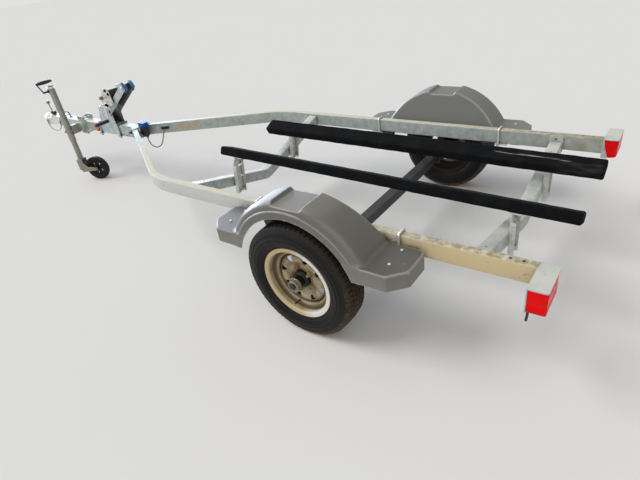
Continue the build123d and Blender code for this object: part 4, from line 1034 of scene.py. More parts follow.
# %% Fenders
OPENING_R, WHEEL_SIDE, WALL = 302, 664, 3.0
shell = bmesh.new()
corners = [shell.verts.new(place(*p)) for p in form[0]]
for quad in form[1]:
    shell.faces.new([corners[i] for i in quad])
bmesh.ops.bisect_plane(shell, geom=shell.verts[:] + shell.edges[:] + shell.faces[:],
                       plane_co=place(0, 0, SKIRT), plane_no=UP, clear_inner=True)
bmesh.ops.recalc_face_normals(shell, faces=shell.faces)
left_fender = put("fender_shell_left", bpy.data.meshes.new("fender"))
shell.to_mesh(left_fender.data)
shell.free()
left_fender.data.materials.append(moulded)
wall = left_fender.modifiers.new("wall", "SOLIDIFY")
wall.thickness, wall.offset = WALL * MM, -1
settled(left_fender)
opening = round_bar(OPENING_R, WHEEL_SIDE, 900, (0, 0, AXLE_Z), LEFTWARD, 160)
notches = [plate(box_outline(x - 33, x + 33, 350, 396), 590, 640, SIDEWAYS) for x in (386, -386)]
take_away(left_fender, [opening, *notches])
edged(left_fender, 0, 40)
right_mesh = left_fender.data.copy()
right_mesh.transform(Matrix.Diagonal((1, -1, 1, 1)))
right_mesh.flip_normals()
bound(left_fender, "frame", ["fender_left"])
bound(put("fender_shell_right", right_mesh), "frame", ["fender_right"])
print("fender wall", WALL, "mm, opening", OPENING_R, "mm radius")

# %% [markdown]
# ## The fender brackets
# Under each end of a fender lies a strip of flat steel, joggled up from the rail to the
# deck. A U-bolt over the rail clamps it, and two small round-headed bolts come down
# through the plastic. The strip is a folded line, the U-bolt a rod with two bends.

# %% Fender brackets
BRACKET_X, U_BOLT_HALF, HEAD_SET, STRIP_THICK = 385, 24.5, 20, 5
HEAD = [(0, 0), (6.4, 0), (6.6, 1.2), (5.6, 3), (3.3, 4.1), (0, 4.5)]
strip_line = [(548, 391.5), (620, 391.5), (632.5, DECK - 5.5), (790, DECK - 5.5)]
inner, outer = RAIL_Y - U_BOLT_HALF, RAIL_Y + U_BOLT_HALF
strips, clamps = [], []
for s in (1, -1):
    near, far = sorted((s * (BRACKET_X - 30), s * (BRACKET_X + 32)))
    strips.append(plate(folded(strip_line, STRIP_THICK, 4), near, far, ACROSS))
    x = s * (BRACKET_X - 15)
    clamps.append(rod([(x, inner, 373), (x, inner, 475.2), (x, outer, 475.2), (x, outer, 373)], 5, 9))
    clamps += [bolt((x, y, 389), DOWN, 16, 9) for y in (inner, outer)]
    x = s * (BRACKET_X + HEAD_SET)
    for y in (646, 746):
        clamps.append(turned(HEAD, (x, y, DECK), UP, 28))
        clamps.append(bolt((x, y, 432), DOWN, 13, 7, 0, 5))
piece("bracket_strips", "frame",
      [(galvanised, both_sides(*strips)), (bright_zinc, both_sides(*clamps))],
      ["fender_mounts_left", "fender_mounts_right"], 0.5)
print("bracket strips:", 2 * len(strips))

# %% [markdown]
# ## The tyres
# A small radial: a squarish shoulder, rings moulded on the sidewall, and a tread of
# short blocks between four grooves. A tyre is a lathe form with a pattern pressed in,
# so it is a grid of columns round the axle and stations across. Each station on the
# tread is lowered where a groove or a gap between blocks passes. The gaps step from
# rib to rib like brickwork. The blocks' pitch is 24 mm, as on a real tyre of this size.

# %% Tyre
TYRE_Y, TYRE_R = 767.5, 269
BLOCKS, PER_BLOCK = 70, 8
SIDE = [(153.5, 38), (153.5, 45.5), (157, 49), (162, 50.5), (170, 51.3), (172, 54.2), (178, 58.2),
        (184, 61.8), (186, 63.8), (189, 64), (191, 65.0), (203, 67.6), (206, 69), (209, 67.7),
        (219, 67.2), (222, 68.2), (225, 66.2), (232, 65), (240, 63), (243, 63.6), (246, 61.8),
        (253, 60), (256, 59.4), (260, 56), (265, 52)]
CROWN = [50, 46, 36, 33, 32, 28, 27, 15, 13, 12, 8, 7, 0]
GROOVES = ((27.5, 32.5), (7.5, 12.5))
LINING = [(160, 40), (200, 57), (238, 54), (254, 42), (255, 0)]
CROWN_DROP, GROOVE_DEEP, GAP_DEEP, NOTCH_DEEP = 3.2, 7, 4.5, 2.2


def tread_radius(across, column):
    """The tread's radius: low in a groove, lower in the gap between two blocks."""
    off = abs(across)
    radius = TYRE_R - CROWN_DROP * (off / 52) ** 2.4
    if any(a <= off <= b for a, b in GROOVES):
        return radius - GROOVE_DEEP
    rib = 0 if off < 7.5 else 1 if off < 27.5 else 2
    shift = (rib * 3 + (2 if across < 0 else 0)) % PER_BLOCK
    return radius - (GAP_DEEP if (column + shift) % PER_BLOCK == 0 else 0.0)


def tyre_part():
    """The tyre's points, with the faces of its sides and those of its tread."""
    half = [(r, a, False) for r, a in SIDE] + [(0, a, True) for a in CROWN]
    ring = half + [(r, -a, on) for r, a, on in half[-2::-1]]
    ring += [(r, -a, False) for r, a in LINING] + [(r, a, False) for r, a in LINING[-2::-1]]
    columns = BLOCKS * PER_BLOCK
    loops = []
    for k in range(columns):
        c, s = math.cos(2 * math.pi * k / columns), math.sin(2 * math.pi * k / columns)
        loop = []
        for r, a, on in ring:
            radius = tread_radius(a, k) if on else r
            if not on and 252 < radius < 270 and abs(a) > 50 and (k + 3) % PER_BLOCK < 2:
                radius -= NOTCH_DEEP
            loop.append((radius * c, TYRE_Y + a, AXLE_Z + radius * s))
        loops.append(loop)
    points, faces = stitched(loops, ring=True)
    size = len(ring)
    first, last = len(SIDE) - 5, len(SIDE) + 2 * len(CROWN) + 3
    on_tread = [first <= i % size < last for i in range(len(faces))]
    return points, [[f for f, on in zip(faces, on_tread) if on == kept] for kept in (False, True)]


def tyre_mesh(s):
    """Sidewall and tread in one welded mesh, each with its own finish."""
    made = bmesh.new()
    corners = [made.verts.new(place(x, y * s, z)) for x, y, z in tyre_points]
    for index, faces in enumerate(tyre_faces):
        for face in faces:
            made.faces.new([corners[i] for i in face]).material_index = index
    bmesh.ops.recalc_face_normals(made, faces=made.faces)
    mesh = bpy.data.meshes.new("tyre")
    made.to_mesh(mesh)
    made.free()
    mesh.materials.append(tyre_rubber)
    mesh.materials.append(tread_rubber)
    return mesh


tyre_points, tyre_faces = tyre_part()
for side, s in (("left", 1), ("right", -1)):
    made = put("tyre_carcass_" + side, tyre_mesh(s))
    edged(made, 0, 38)
    bound(made, "wheel_" + side, ["tyre_" + side])
print("tyre:", BLOCKS, "blocks round,", len(tyre_points), "points")

# %% [markdown]
# ## The rims
# A pressed steel wheel is two pressings: a rolled rim with its bead seats and drop
# well, and a disc whose face is pressed into a wavy ring for stiffness, with windows
# punched round it. The rim is turned from its real profile. The disc is a turned grid
# that is raised between the nuts, and then punched.

# %% Rims
RIM_PROFILE = [(170, 824), (170, 820), (166, 818.6), (156.5, 818), (153.5, 816), (152.5, 812),
               (152.5, 794), (150, 791), (130, 784), (128, 782), (128, 745), (130, 743),
               (152.5, 735), (152.5, 723), (154, 719), (156.5, 717), (170, 715), (170, 711),
               (151.5, 711), (148.5, 715), (148.5, 733), (126, 741), (124, 743), (124, 784),
               (126, 786.5), (146, 794), (148.5, 797), (148.5, 812), (149.5, 818), (151.5, 822),
               (156, 824)]
DISC = [(41, 774), (46, 774), (52, 774), (58, 774), (64, 774), (70, 774), (74, 775), (78, 778),
        (83, 782.5), (88, 786), (94, 787), (100, 787), (106, 786), (112, 781), (119, 773.5),
        (126, 766)]
NUT_PITCH_R, NUTS, FIRST_NUT, WINDOWS, FIRST_WINDOW, VALVE_AT = 57.15, 5, -2, 8, 18, -76
DISC_THICK, WAVE_HIGH = 4.6, 5.0
middle_at = (0, 0, AXLE_Z)


def pressed(r, angle):
    """How far the disc's face stands out: a ring of waves, high between the nuts."""
    wave = 0.5 - 0.5 * math.cos(NUTS * (angle - math.radians(FIRST_NUT)))
    ring = max(0.0, 1 - ((r - 62) / 15) ** 2)
    outer = max(0.0, 1 - ((r - 84) / 9) ** 2) * (0.5 + 0.5 * math.cos(NUTS * 2 * angle))
    return WAVE_HIGH * wave * ring + 1.2 * outer


def disc_part(steps=120):
    """The disc's face and its back, as rings of points round the axle."""
    loops = []
    for face, drop in ((DISC, 0), (DISC[::-1], DISC_THICK)):
        for r, y in face:
            loop = []
            for k in range(steps):
                a = 2 * math.pi * k / steps
                loop.append((r * math.cos(a), y - drop + pressed(r, a), AXLE_Z + r * math.sin(a)))
            loops.append(loop)
    return stitched(loops, ring=True)


def round_the_axle(degrees, r, y):
    a = math.radians(degrees)
    return r * math.cos(a), y, AXLE_Z + r * math.sin(a)


def window_cut(degrees):
    outline = rounded([(83, -6), (112, -19), (112, 19), (83, 6)], 3.5, 4, True)
    a = math.radians(degrees)
    return plate(outline, -30, 30, axes((0, 777, AXLE_Z), (math.cos(a), 0, math.sin(a)),
                                        (-math.sin(a), 0, math.cos(a))))


windows = [window_cut(FIRST_WINDOW + 360 / WINDOWS * k) for k in range(WINDOWS)]
valve_foot = Vector(round_the_axle(VALVE_AT, 128, 786))
valve_tip = Vector(round_the_axle(VALVE_AT, 121, 822))
stem = rod([valve_foot, valve_foot.lerp(valve_tip, 0.3), valve_tip], 3.4)
cap = turned([(0, 0), (4.3, 0), (4.3, 9), (3.2, 11), (0, 11)],
             valve_tip - (valve_tip - valve_foot) * 0.25, valve_tip - valve_foot, 12)
rim = turned(RIM_PROFILE, middle_at, LEFTWARD, 128, ring=True)
pair("rim_well_SIDE", "wheel_SIDE", [(cream_enamel, [rim])], ["rim_SIDE"], 0, sharp=42)
pair("rim_disc_SIDE", "wheel_SIDE", [(cream_enamel, [disc_part()])], (), 0.4, windows, 42)
pair("valve_SIDE", "wheel_SIDE", [(black_nylon, [stem, cap])], (), 0)
print("rims:", WINDOWS, "windows,", NUTS, "nuts")

# %% [markdown]
# ## The hubs
# A hub is a casting turned true, black and greasy: a flange that the disc sits on and a
# neck through its middle. A pressed steel cap round a dark core closes the neck. The
# five nuts sit low between the disc's waves, and have rusted brown.

# %% Hubs
cap_steel = finish("pressed steel dust cap, greasy", "#8e8a7c", 0.36, 0.6, [
    ("#5c5546", 0.6, 0.1, (patches, 9, 0.45, 0.7, 5)),
])
FLANGE = [(20, 722), (40, 722), (40, 758), (74, 758), (75, 760), (75, 768), (73, 769.4), (42, 769.4),
          (40, 771), (40, 786), (38, 789), (31, 792), (28, 796), (28, 822), (20, 822)]
CAP = [(22, 818), (27.6, 818), (27.6, 826), (26.2, 828), (26.2, 843), (24.6, 846.4), (21.6, 847.4),
       (19.6, 846.2), (19.2, 843), (0, 843)]
CAP_CORE = [(13.6, 842), (13.6, 848), (12.2, 850.4), (0, 851)]
nuts = [bolt(round_the_axle(FIRST_NUT - 360 / NUTS * k, NUT_PITCH_R, 774.5), LEFTWARD, 19, 15, 12, 9)
        for k in range(NUTS)]
pair("hub_body_SIDE", "wheel_SIDE",
     [(greasy_black, [turned(FLANGE, middle_at, LEFTWARD, 64)]), (rusty_steel, nuts),
      (cap_steel, [turned(CAP, middle_at, LEFTWARD, 48)]),
      (black_nylon, [turned(CAP_CORE, middle_at, LEFTWARD, 24)])],
     ["hub_SIDE"], 0.3)
print("hubs:", NUTS, "nuts of 19 mm")

# %% [markdown]
# ## Axle and springs
# The axle is square tube in black enamel on a pair of leaf springs. A leaf spring is a
# strap of spring steel rolled into an eye at each end. Shorter leaves lie under the
# main one, and U-bolts with nuts clamp it all to the axle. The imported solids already
# have these shapes, so they stay with broken edges. The bolts through the springs' eyes
# are added.

# %% Axle and springs
EYE_X, EYE_HALF, EYE_Z, THREAD_END = 315, 31, 352, 5
soften(["axle_beam", "spring_left", "spring_right", "spring_mounts_left", "spring_mounts_right"], 1.0)
eye_bolts = []
for x in (-EYE_X, EYE_X):
    for s, stud in ((1, 0), (-1, THREAD_END)):
        eye_bolts.append(bolt((x, RAIL_Y + s * EYE_HALF, EYE_Z), (0, s, 0), 19, 10, 13, stud))
piece("spring_eye_bolts", "frame", [(galvanised, both_sides(*eye_bolts))], (), 0.4)
print("spring eye bolts:", 2 * len(eye_bolts))

# %% [markdown]
# ## The bunks
# A bunk is a timber board wrapped in needled carpet, which is pulled round its edges
# and stapled beneath. The cloth rounds the corners and is never quite flat, and at the
# ends it is folded in. The board is swept as loops along its length; small waves from
# a few sines stand for the cloth's unevenness, and the last loops shrink to make the
# tucked ends. It is stuffed tight.

# %% Bunks
BUNK_FRONT, BUNK_REAR = Vector((966, 194, 521)), Vector((-935, 214, 487))
BUNK_WIDE, BUNK_THICK, BUNK_TILT, BUNK_EDGE = 88, 50, 23.5, 10
# How far the cloth is drawn in at the ends: places from an end, with the inset there
TUCKED = [(0, 12), (0.8, 6.5), (3, 2.6), (6.5, 0.7), (11, 0)]


def bunk_part():
    """The board in its cloth, as loops from the rear end forward."""
    run = BUNK_FRONT - BUNK_REAR
    ahead_of = run.normalized()
    tilt = math.radians(BUNK_TILT)
    lift = Vector((0, -math.sin(tilt), math.cos(tilt)))
    lift = (lift - ahead_of * lift.dot(ahead_of)).normalized()
    side = ahead_of.cross(lift)
    section = box_outline(-BUNK_WIDE / 2, BUNK_WIDE / 2, -BUNK_THICK, 0, BUNK_EDGE, 6)
    fine = []
    for i, a in enumerate(section):
        b = section[(i + 1) % len(section)]
        parts = max(1, round(math.dist(a, b) / 9))
        fine += [(a[0] + (b[0] - a[0]) * k / parts, a[1] + (b[1] - a[1]) * k / parts)
                 for k in range(parts)]
    stations = [*TUCKED, *[(d, 0.0) for d in np.arange(22, run.length - 20, 11)],
                *[(run.length - d, s) for d, s in TUCKED[::-1]]]
    loops, mid = [], -BUNK_THICK / 2
    for d, shrink in stations:
        k, j = 1 - shrink / (BUNK_WIDE / 2), 1 - shrink / (BUNK_THICK / 2)
        loop = []
        for a, b in fine:
            wave = 0.5 * math.sin(d / 37 + a / 13) + 0.4 * math.sin(d / 13.7 - a / 9 + b / 7)
            out = Vector((a, b - mid)).normalized() * (wave * min(1, d / 30) - 0.4)
            loop.append(BUNK_REAR + ahead_of * d + side * (a * k + out.x)
                        + lift * (mid + (b - mid) * j + out.y))
        loops.append(loop)
    return stitched(loops)


bunks = pair("bunk_board_SIDE", "frame", [(carpet, [bunk_part()])], ["bunk_SIDE"], 0,
             sharp=60)
print("bunks", round((BUNK_FRONT - BUNK_REAR).length), "mm long")

# %% [markdown]
# ## Bunk posts
# Each post is a short steel channel with long slots, so that the bunk's height can be
# set, and a cap plate bent over its head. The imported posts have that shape. They get a
# broken edge, and the carriage bolts that hold them to the crossmember.

# %% Bunk posts
POST_BOLTS_Y, REAR_SEAT, FRONT_SEAT = (243, 271), (-694, 289), (855.8, 284)
soften(["bunk_posts_left", "bunk_posts_right"], 0.9)
foot_bolts = [bolt((x, y, z), (-1, 0, 0), 15, 8, 9.8, 7)
              for y in POST_BOLTS_Y for x, z in (REAR_SEAT, FRONT_SEAT)]
piece("post_bolts", "frame", [(bright_zinc, both_sides(*foot_bolts))], (), 0.4)
print("post bolts:", 2 * len(foot_bolts))

# %% [markdown]
# ## Tail lamps
# A red lens sits under a folded steel guard. An acrylic lens is moulded in one with its
# side window, with soft corners and a groove round it. A short black cable stub comes
# out below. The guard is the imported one, with its edge broken.

# %% Lamps
LENS_BACK, LENS_FRONT, LENS_IN, LENS_OUT, LENS_LOW, LENS_TOP = -933.6, -873, 564, 717.6, 374.4, 463.4
# Heights of the lens from its foot up, with the inset there: a soft foot, a groove and
# a soft top
LENS_RINGS = ((LENS_LOW, 4.5), (LENS_LOW + 1.2, 1.6), (LENS_LOW + 4.5, 0.2), (LENS_LOW + 30, 0),
              (LENS_LOW + 31, 0.7), (LENS_LOW + 33, 0.7), (LENS_LOW + 34, 0), (LENS_TOP - 3, 0),
              (LENS_TOP - 0.8, 1.0), (LENS_TOP, 2.6))
soften(["lamp_guard_left", "lamp_guard_right"], 0.8)


def lens_plan(inset):
    """The lens from above, its aft inboard corner well rounded."""
    back, front = LENS_BACK + inset, LENS_FRONT
    inner, outer = LENS_IN + inset, LENS_OUT - inset
    made = [(front, inner), (front, outer)]
    for middle, r, start in (((back + 6, outer - 6), 6, 90), ((back + 24, inner + 24), 24, 180)):
        made += [(middle[0] + r * math.cos(math.radians(start + 90 * k / 8)),
                  middle[1] + r * math.sin(math.radians(start + 90 * k / 8))) for k in range(9)]
    return made


lens = stitched([[(x, y, z) for x, y in lens_plan(inset)] for z, inset in LENS_RINGS])
stub = rod([(-878, 706, 376), (-877, 706, 352), (-875, 706, 331)], 4.4)
base = slab((LENS_FRONT + 0.1, LENS_FRONT + 0.9), (LENS_IN, LENS_OUT), (LENS_LOW, LENS_TOP))
pair("lens_SIDE", "frame", [(red_acrylic, [lens]), (black_nylon, [stub, base])], ["lamp_lens_SIDE"],
     0, sharp=40)
print("lens", round(LENS_OUT - LENS_IN, 1), "by", round(LENS_TOP - LENS_LOW, 1), "mm")

# %% [markdown]
# ## The winch post
# The post is folded plate: two sides with a web between, U-bolted over the tongue, and
# an arm of open channel that leans back to the bow roller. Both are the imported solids,
# with softened edges. The winch on it is pressed cheeks round a drum. The crank turns
# the drum's own shaft, with a toothed wheel on it for the ratchet, and the strap is
# wound on in many layers whose edges never quite line up.

# %% Winch post and cheeks
DRUM_X, DRUM_Z, CHEEK_Y, CHEEK_THICK = 2322, 700, 56, 3
CHEEK = [(-74, -32), (-60, -62), (-32, -68), (28, -50), (50, -20), (44, 16), (8, 60), (-32, 64),
         (-64, 36)]
CHEEK_HOLES = ((-6, -38, 7, 20), (18, 8, 6, 20), (0, 0, 9.2, 24))
CHEEK_BOLTS = ((-24, 45), (-49, 21))


def round_the_drum(profile, steps=48, ring=False):
    return turned(profile, (DRUM_X, 0, DRUM_Z), LEFTWARD, steps, ring)


soften(["winch_foot", "winch_arm"], 1.1)
outline = [(DRUM_X + a, DRUM_Z + b) for a, b in rounded(CHEEK, 12, 5, True)]
holes = [circle(r, steps, DRUM_X + a, DRUM_Z + b) for a, b, r, steps in CHEEK_HOLES]
spacer = box_outline(DRUM_X - 68, DRUM_X - 36, DRUM_Z - 62, DRUM_Z - 38, 2)
cheeks, dark_bolts = [], []
for s in (1, -1):
    seat_y = s * (CHEEK_Y + CHEEK_THICK)
    cheeks.append(plate(outline, *sorted((s * CHEEK_Y, seat_y)), SIDEWAYS, holes))
    for a, b in CHEEK_BOLTS:
        dark_bolts.append(bolt((DRUM_X + a, seat_y, DRUM_Z + b), (0, s, 0), 17, 7, 10.5))
    cheeks.append(plate(spacer, *sorted((s * 43.1, s * 55.9)), SIDEWAYS))
    cheeks.append(bolt((DRUM_X - 52, seat_y, DRUM_Z - 50), (0, s, 0), 14, 7, 9))
piece("winch_cheeks", "frame", [(bright_zinc, cheeks), (greasy_black, dark_bolts)], ["winch_frame"],
      0.5)
print("winch cheeks", CHEEK_THICK, "mm thick")

# %% [markdown]
# ## The winch's drum and crank
# The toothed wheel is a plate whose outline steps in and out round its rim. The wound
# strap is turned as one body, its flanks in fine steps for the layers. The crank is a
# flat bar with a round end, held by a rusted nut, and its grip is ribbed black plastic.

# %% Winch drum and crank
TEETH, GEAR_R, TOOTH, BORE_R = 34, 45.5, 3.4, 8.9
LAYERS, LAYER, WOUND_R = 24, 1.15, 38
teeth = []
for k in range(TEETH * 4):
    a = 2 * math.pi * k / (TEETH * 4)
    r = GEAR_R - (TOOTH if k % 4 in (2, 3) else 0)
    teeth.append((DRUM_X + r * math.cos(a), DRUM_Z + r * math.sin(a)))
gear = plate(teeth, 50.2, 53.8, SIDEWAYS, [circle(BORE_R, 24, DRUM_X, DRUM_Z)])
flange = round_the_drum([(BORE_R, -53.8), (43, -53.8), (45.6, -53), (45.6, -51), (43, -50.2),
                         (BORE_R, -50.2)], 64, True)
axle_rod = round_the_drum([(0, -66), (8, -66), (9, -65), (9, 81), (8, 82), (0, 82)])
strap = []
for k in range(LAYERS):
    edge_y = 47.4 + 1.1 * math.sin(k * 2.4)
    r = WOUND_R - 0.3 - k * LAYER
    strap += [(r, edge_y), (r - LAYER * 0.55, edge_y - 1.5)]
wound = [(BORE_R, -47), *[(r, -y) for r, y in strap[::-1]], (38, -46), (37.6, -20), (38, 8),
         (37.5, 30), (38, 46), *strap, (BORE_R, 47)]
piece("winch_drum_wound", "winch",
      [(bright_zinc, [gear, flange, axle_rod]), (strap_webbing, [round_the_drum(wound, 64, True)])],
      ["winch_drum"], 0.3)

CRANK_DIR = Vector((14, 0, -173)).normalized()
crank_end = Vector((DRUM_X, 0, DRUM_Z)) + CRANK_DIR * 172
arm_axes = axes((DRUM_X, 91, DRUM_Z), CRANK_DIR, Vector(LEFTWARD).cross(CRANK_DIR))
arm_bar = plate(box_outline(-8, 179, -11, 11, 10, 6), -2.5, 2.5, arm_axes)
hub = round_the_drum([(0, 82.2), (13, 82.2), (14, 83.2), (14, 97), (13, 98), (0, 98)])
hub_nut = bolt((DRUM_X, 98, DRUM_Z), LEFTWARD, 19, 9)
GRIP = [(0, 98), (11.5, 98), (13.4, 100), (14, 106), (12.6, 112), (12.6, 118), (13.6, 124), (12.7, 130),
        (13.6, 138), (12.7, 144), (13.6, 152), (12.7, 158), (13.6, 166), (12.7, 172), (13.6, 180),
        (12.8, 188), (13.8, 198), (13, 204), (10, 207.6), (0, 208)]
grip = turned(GRIP, crank_end, LEFTWARD, 32)
crank_pin = round_bar(8, 88, 98.5, crank_end, LEFTWARD, 24)
piece("winch_handle", "winch",
      [(bright_zinc, [arm_bar, crank_pin]), (rusty_steel, [hub, hub_nut]), (black_nylon, [grip])],
      ["winch_crank"], 0.5)
print("winch gear", TEETH, "teeth")

# %% [markdown]
# ## The bow roller
# The roller is cast polyurethane: a narrow black waist where the keel sits between two
# blue-green bells, worn pale at their rims. It turns on a pin with a head each side.

# %% Bow roller
ROLLER_X, ROLLER_Z = 2091, 767
BELL = [(8.2, 14), (25.4, 14), (27.5, 17), (33, 25), (36.4, 28), (38, 30.4), (38, 33), (36.6, 35.4),
        (32, 37.2), (22, 37.4), (20, 36), (8.2, 36)]
WAIST = [(8.2, -14), (24.8, -14), (23.7, -8), (23.5, 0), (23.7, 8), (24.8, 14), (8.2, 14)]
roller_middle = (ROLLER_X, 0, ROLLER_Z)
bell = turned(BELL, roller_middle, LEFTWARD, ring=True)
waist = turned(WAIST, roller_middle, LEFTWARD, ring=True)
pin = turned([(0, -55), (7, -55), (8, -54), (8, 54), (7, 55), (0, 55)], roller_middle, LEFTWARD, 24)
pin_head = turned([(8, 44.2), (15, 44.2), (15, 49.5), (13.6, 51), (8, 51)], roller_middle, LEFTWARD, 32)
piece("keel_roller", "roller",
      [(teal_rubber, both_sides(bell)), (solid_rubber, [waist]),
       (bright_zinc, [pin, *both_sides(pin_head)])], ["bow_roller"], 0)
print("roller 76 mm across its bells")

# %% [markdown]
# ## The coupler
# The coupler is pressed steel, bolted through the tongue. Its latch is a black block on
# a plated one, with a lever rod that ends in a small head. The grab handle is a bent
# black rod.

# %% Coupler
jack_zinc = finish("jack zinc, weathered, with painted light on the left", "#8f8d86", 0.5, 0.25, [
    ("#7a766b", 0.6, 0.15, (patches, 26, 0.4, 0.65)),
    # Painted light: faces toward the left lighter, as lit from that side
    ("#a3a199", 0.5, 0.2, (facing, Y, 0.1, 0.9)),
    ("#8c887c", 0.6, 0.1, (toward, Z, 0.36, 0.22)),
    ("#4f4a40", 0.85, 0.0, (in_gaps, 0.02, 0.3, 0.8)),
    ("#746549", 0.8, 0.0, (patches, 9, 0.64, 0.76, 6)),
], ZINC_GRAIN)
COUPLER_Y, COUPLER_BOLTS = 40, ((3225, 458), (3250, 424))
soften(["coupler"], 1.6, 34)
soften(["grab_handle"], 0.6, 40)
through = []
for x, z in COUPLER_BOLTS:
    through.append(bolt((x, COUPLER_Y, z), LEFTWARD, 15, 8, 10))
    through.append(bolt((x, -COUPLER_Y, z), (0, -1, 0), 15, 10, 10, 8))
piece("coupler_bolts", "frame", [(bright_zinc, through)], (), 0.4)

LATCH_X, LEVER_Z = 3350, 490
latch_low = slab((LATCH_X, LATCH_X + 74), (-24, 24), (452.2, 474), 5)
latch_high = slab((LATCH_X + 4, LATCH_X + 54), (-15, 15), (474, 504), 6)
lever = rod([(LATCH_X + 44, 0, LEVER_Z), (LATCH_X + 49, 0, 528), (LATCH_X + 58, 0, 571)], 4.8)
head = slab((LATCH_X + 46, LATCH_X + 70), (-13, 13), (568, 592), 5)
lever_pin = rod([(LATCH_X + 44, y, LEVER_Z) for y in (-20, 20)], 5)
piece("latch_lever", "frame",
      [(black_enamel, [latch_high]), (bright_zinc, [latch_low]), (jack_zinc, [lever, lever_pin, head])],
      ["coupler_latch"], 1.4)
print("coupler bolts:", len(through))

# %% [markdown]
# ## The jack
# The swing-away jack is tube in tube, with a screw inside that the crank turns. A clamp
# plate each side of the tongue holds its pivot. Outdoors its zinc has gone brown grey,
# and its faces toward the left are painted lighter, as lit from that side.
# The imported tube, leg and fork have the right shapes and stay. The clamp plates have
# pressed ribs, the tube gets its cap and seam, and the crank its black barrel grip.

# %% Jack
for name in ("jack_tube", "jack_leg", "jack_fork"):
    nodes[name].data.materials[0] = jack_zinc
for name, edge in (("jack_tube", 0.8), ("jack_leg", 0.6), ("jack_fork", 0.8), ("jack_bracket", 0.9)):
    soften([name], edge, 40)
JACK_X, JACK_Y, JACK_TOP, SWING_Z = 2858, 171, 790, 430
cap_ring = turned([(0, 0), (22, 0), (24.6, -1.5), (25.9, -4), (25.9, -15), (25.1, -16), (25.1, -17)],
                  (JACK_X, JACK_Y, JACK_TOP), UP, 40)
seam = weld([(JACK_X - 25.2, JACK_Y, z) for z in (470, 768)], 0.9)
clamp_bolt = bolt((JACK_X, JACK_Y + 30, SWING_Z), LEFTWARD, 14, 8)
piece("jack_cap", "jack_swing", [(jack_zinc, [seam, clamp_bolt]), (bright_zinc, [cap_ring])], (),
      0.3)

# On the left the pivot stands before the clamp plate, so each rib there is in two
CLAMP_Y, RIB_HIGH, RIB_HALF = 41, 3.4, 5
ribs = []
for x in (JACK_X - 20, JACK_X, JACK_X + 20):
    for s, stretches in ((1, ((366, 388), (474, 499))), (-1, ((366, 499),))):
        for stretch in stretches:
            ribs.append(plate(box_outline(x - RIB_HALF, x + RIB_HALF, *stretch, 4.8, 5),
                              *sorted((s * CLAMP_Y, s * (CLAMP_Y + RIB_HIGH))), SIDEWAYS))
piece("bracket_ribs", "frame", [(galvanised, ribs)], (), 1.2)

crank_z, grip_z = JACK_TOP - 33, JACK_TOP + 31
shaft = rod([(JACK_X, JACK_Y + y, crank_z) for y in (24.6, 72)], 7)
collar = turned([(0, 0), (11, 0), (12, 1), (12, 7), (11, 8), (0, 8)],
                (JACK_X, JACK_Y + 26, crank_z), LEFTWARD, 28)
arm = rod([(JACK_X, JACK_Y + 66, crank_z), (JACK_X + 40, JACK_Y + 76, grip_z - 6),
           (JACK_X + 40, JACK_Y + 60, grip_z)], 5, 9)
BARREL = [(0, -46), (6, -45.6), (8.6, -42), (9.6, -34), (12.2, -18), (13.6, 0), (14, 18), (13.6, 36),
          (12.2, 54), (9.8, 70), (9, 76), (7, 80.6), (0, 82)]
barrel = turned(BARREL, (JACK_X + 40, JACK_Y, grip_z), LEFTWARD, 36)
piece("jack_handle", "jack_swing", [(black_enamel, [shaft, collar, arm]), (black_nylon, [barrel])],
      ["jack_crank"], 0)

soften(["jockey_wheel"], 1.0, 35)
print("jack grip at", grip_z, "mm")

# %% [markdown]
# ## The wiring plug
# The wiring plug stands in its holder behind the tongue: a black body with ribs, and a
# blue cap that lies across it. Its parts are moulded nylon, so the edges are soft, and
# the end of the cap is paler than the rest.

# %% Plug
PLUG_X, PLUG_Y = 2052, -4
PLUG_BODY = [(0, 402), (20, 402), (22.4, 404), (22.4, 418), (24, 420), (24, 426), (22.4, 428),
             (22.4, 434), (24, 436), (24, 442), (22.4, 444), (22.4, 452), (26, 454), (26, 462),
             (24, 464), (24, 476), (0, 476)]
GLAND = [(0, 388), (7.4, 388), (8.4, 390), (9, 394), (9, 402), (0, 402)]
body = turned(PLUG_BODY, (PLUG_X, PLUG_Y, 0), UP, 40)
gland = turned(GLAND, (PLUG_X, PLUG_Y, 0), UP, 28)
holder = slab((PLUG_X + 19, 2074.8), (PLUG_Y - 20, PLUG_Y + 20), (400, 440), 3)
lid = slab((PLUG_X - 29, PLUG_X + 27), (PLUG_Y - 24, PLUG_Y + 24), (477, 506), 8, 5)
lid_end = slab((PLUG_X + 27.5, PLUG_X + 40), (PLUG_Y - 24, PLUG_Y + 24), (478, 505), 4, 5)
lid_lip = slab((PLUG_X - 25, PLUG_X + 24), (PLUG_Y - 21, PLUG_Y + 21), (474, 478), 6, 5)
hinge = rod([(PLUG_X + 27, PLUG_Y + y, 482) for y in (-25, 25)], 4)
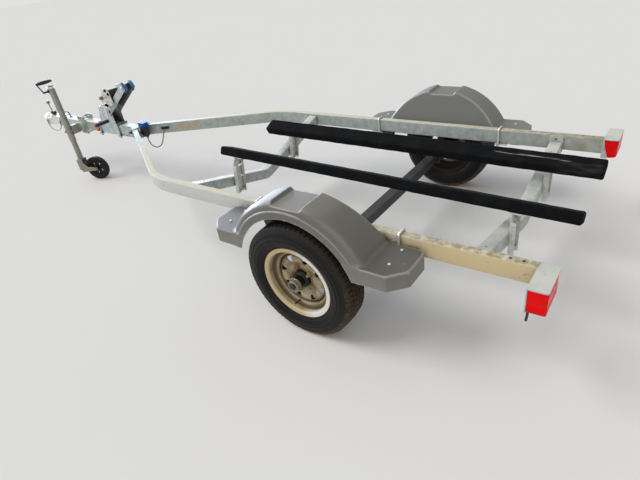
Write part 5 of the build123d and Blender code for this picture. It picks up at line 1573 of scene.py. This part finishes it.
# The end of the cap in a paler blue
pale_nylon = mottled("pale blue polyamide of the cap's end", "#7ea6cf", 0.45, 8, "#a9c2da", 0.55)
piece("plug_in_holder", "frame",
      [(black_nylon, [body, gland, holder, hinge, lid_lip]), (blue_nylon, [lid]),
       (pale_nylon, [lid_end])],
      ["wiring_plug"], 1.2, sharp=40)
print("plug", 506 - 402, "mm tall")

# %% [markdown]
# ## Reflectors and label
# A reflector is a disc of amber acrylic with a fine groove round its face, set into a
# black rim on each side of the tongue. The label is a blank plate on the right rail's
# inner face, with a rivet at each end.

# %% Reflectors and label
REFLECTOR_X, REFLECTOR_Z = 2655, 432
BACKING = [(0, 0.1), (34, 0.1), (34, 5.4), (32.6, 6.8), (30.8, 6.8), (30.8, 4), (0, 4)]
FACE = [(30.7, 4.1), (30.7, 7.4), (29, 8.4), (23, 9), (22.4, 8.3), (21.6, 9), (0, 9)]
faces, backs = [[turned(profile, (REFLECTOR_X, s * TONGUE_Y, REFLECTOR_Z), (0, s, 0), 56)
                 for s in (1, -1)] for profile in (FACE, BACKING)]
piece("reflectors", "frame", [(amber_acrylic, faces), (black_nylon, backs)], ["side_reflectors"],
      0)

LABEL_WIDE, LABEL_HIGH, RIVET = 190, 58, [(0, 0), (3.4, 0), (3.2, 1), (2, 1.8), (0, 2)]
a, b = along_draw(1700, -19.2), along_draw(1915, -19.2)
middle = ((a[0] + b[0]) / 2, -(a[1] + b[1]) / 2, 432)
label_axes = axes(middle, (b[0] - a[0], -(b[1] - a[1]), 0), UP)
out = label_axes.to_3x3() @ Vector(UP)
inward = 1 if out.y > 0 else -1
label_sheet = plate(box_outline(-LABEL_WIDE / 2, LABEL_WIDE / 2, -LABEL_HIGH / 2, LABEL_HIGH / 2, 5),
                    *sorted((0.1 * inward, 1.1 * inward)), label_axes)
rivets = [turned(RIVET, label_axes @ Vector((u, 0, 1.1 * inward)), out * inward, 20)
          for u in (7 - LABEL_WIDE / 2, LABEL_WIDE / 2 - 7)]
piece("label_sheet", "frame", [(blank_label, [label_sheet]), (bright_zinc, rivets)], ["label_plate"],
      0.2)
print("label", LABEL_WIDE, "by", LABEL_HIGH, "mm, blank")
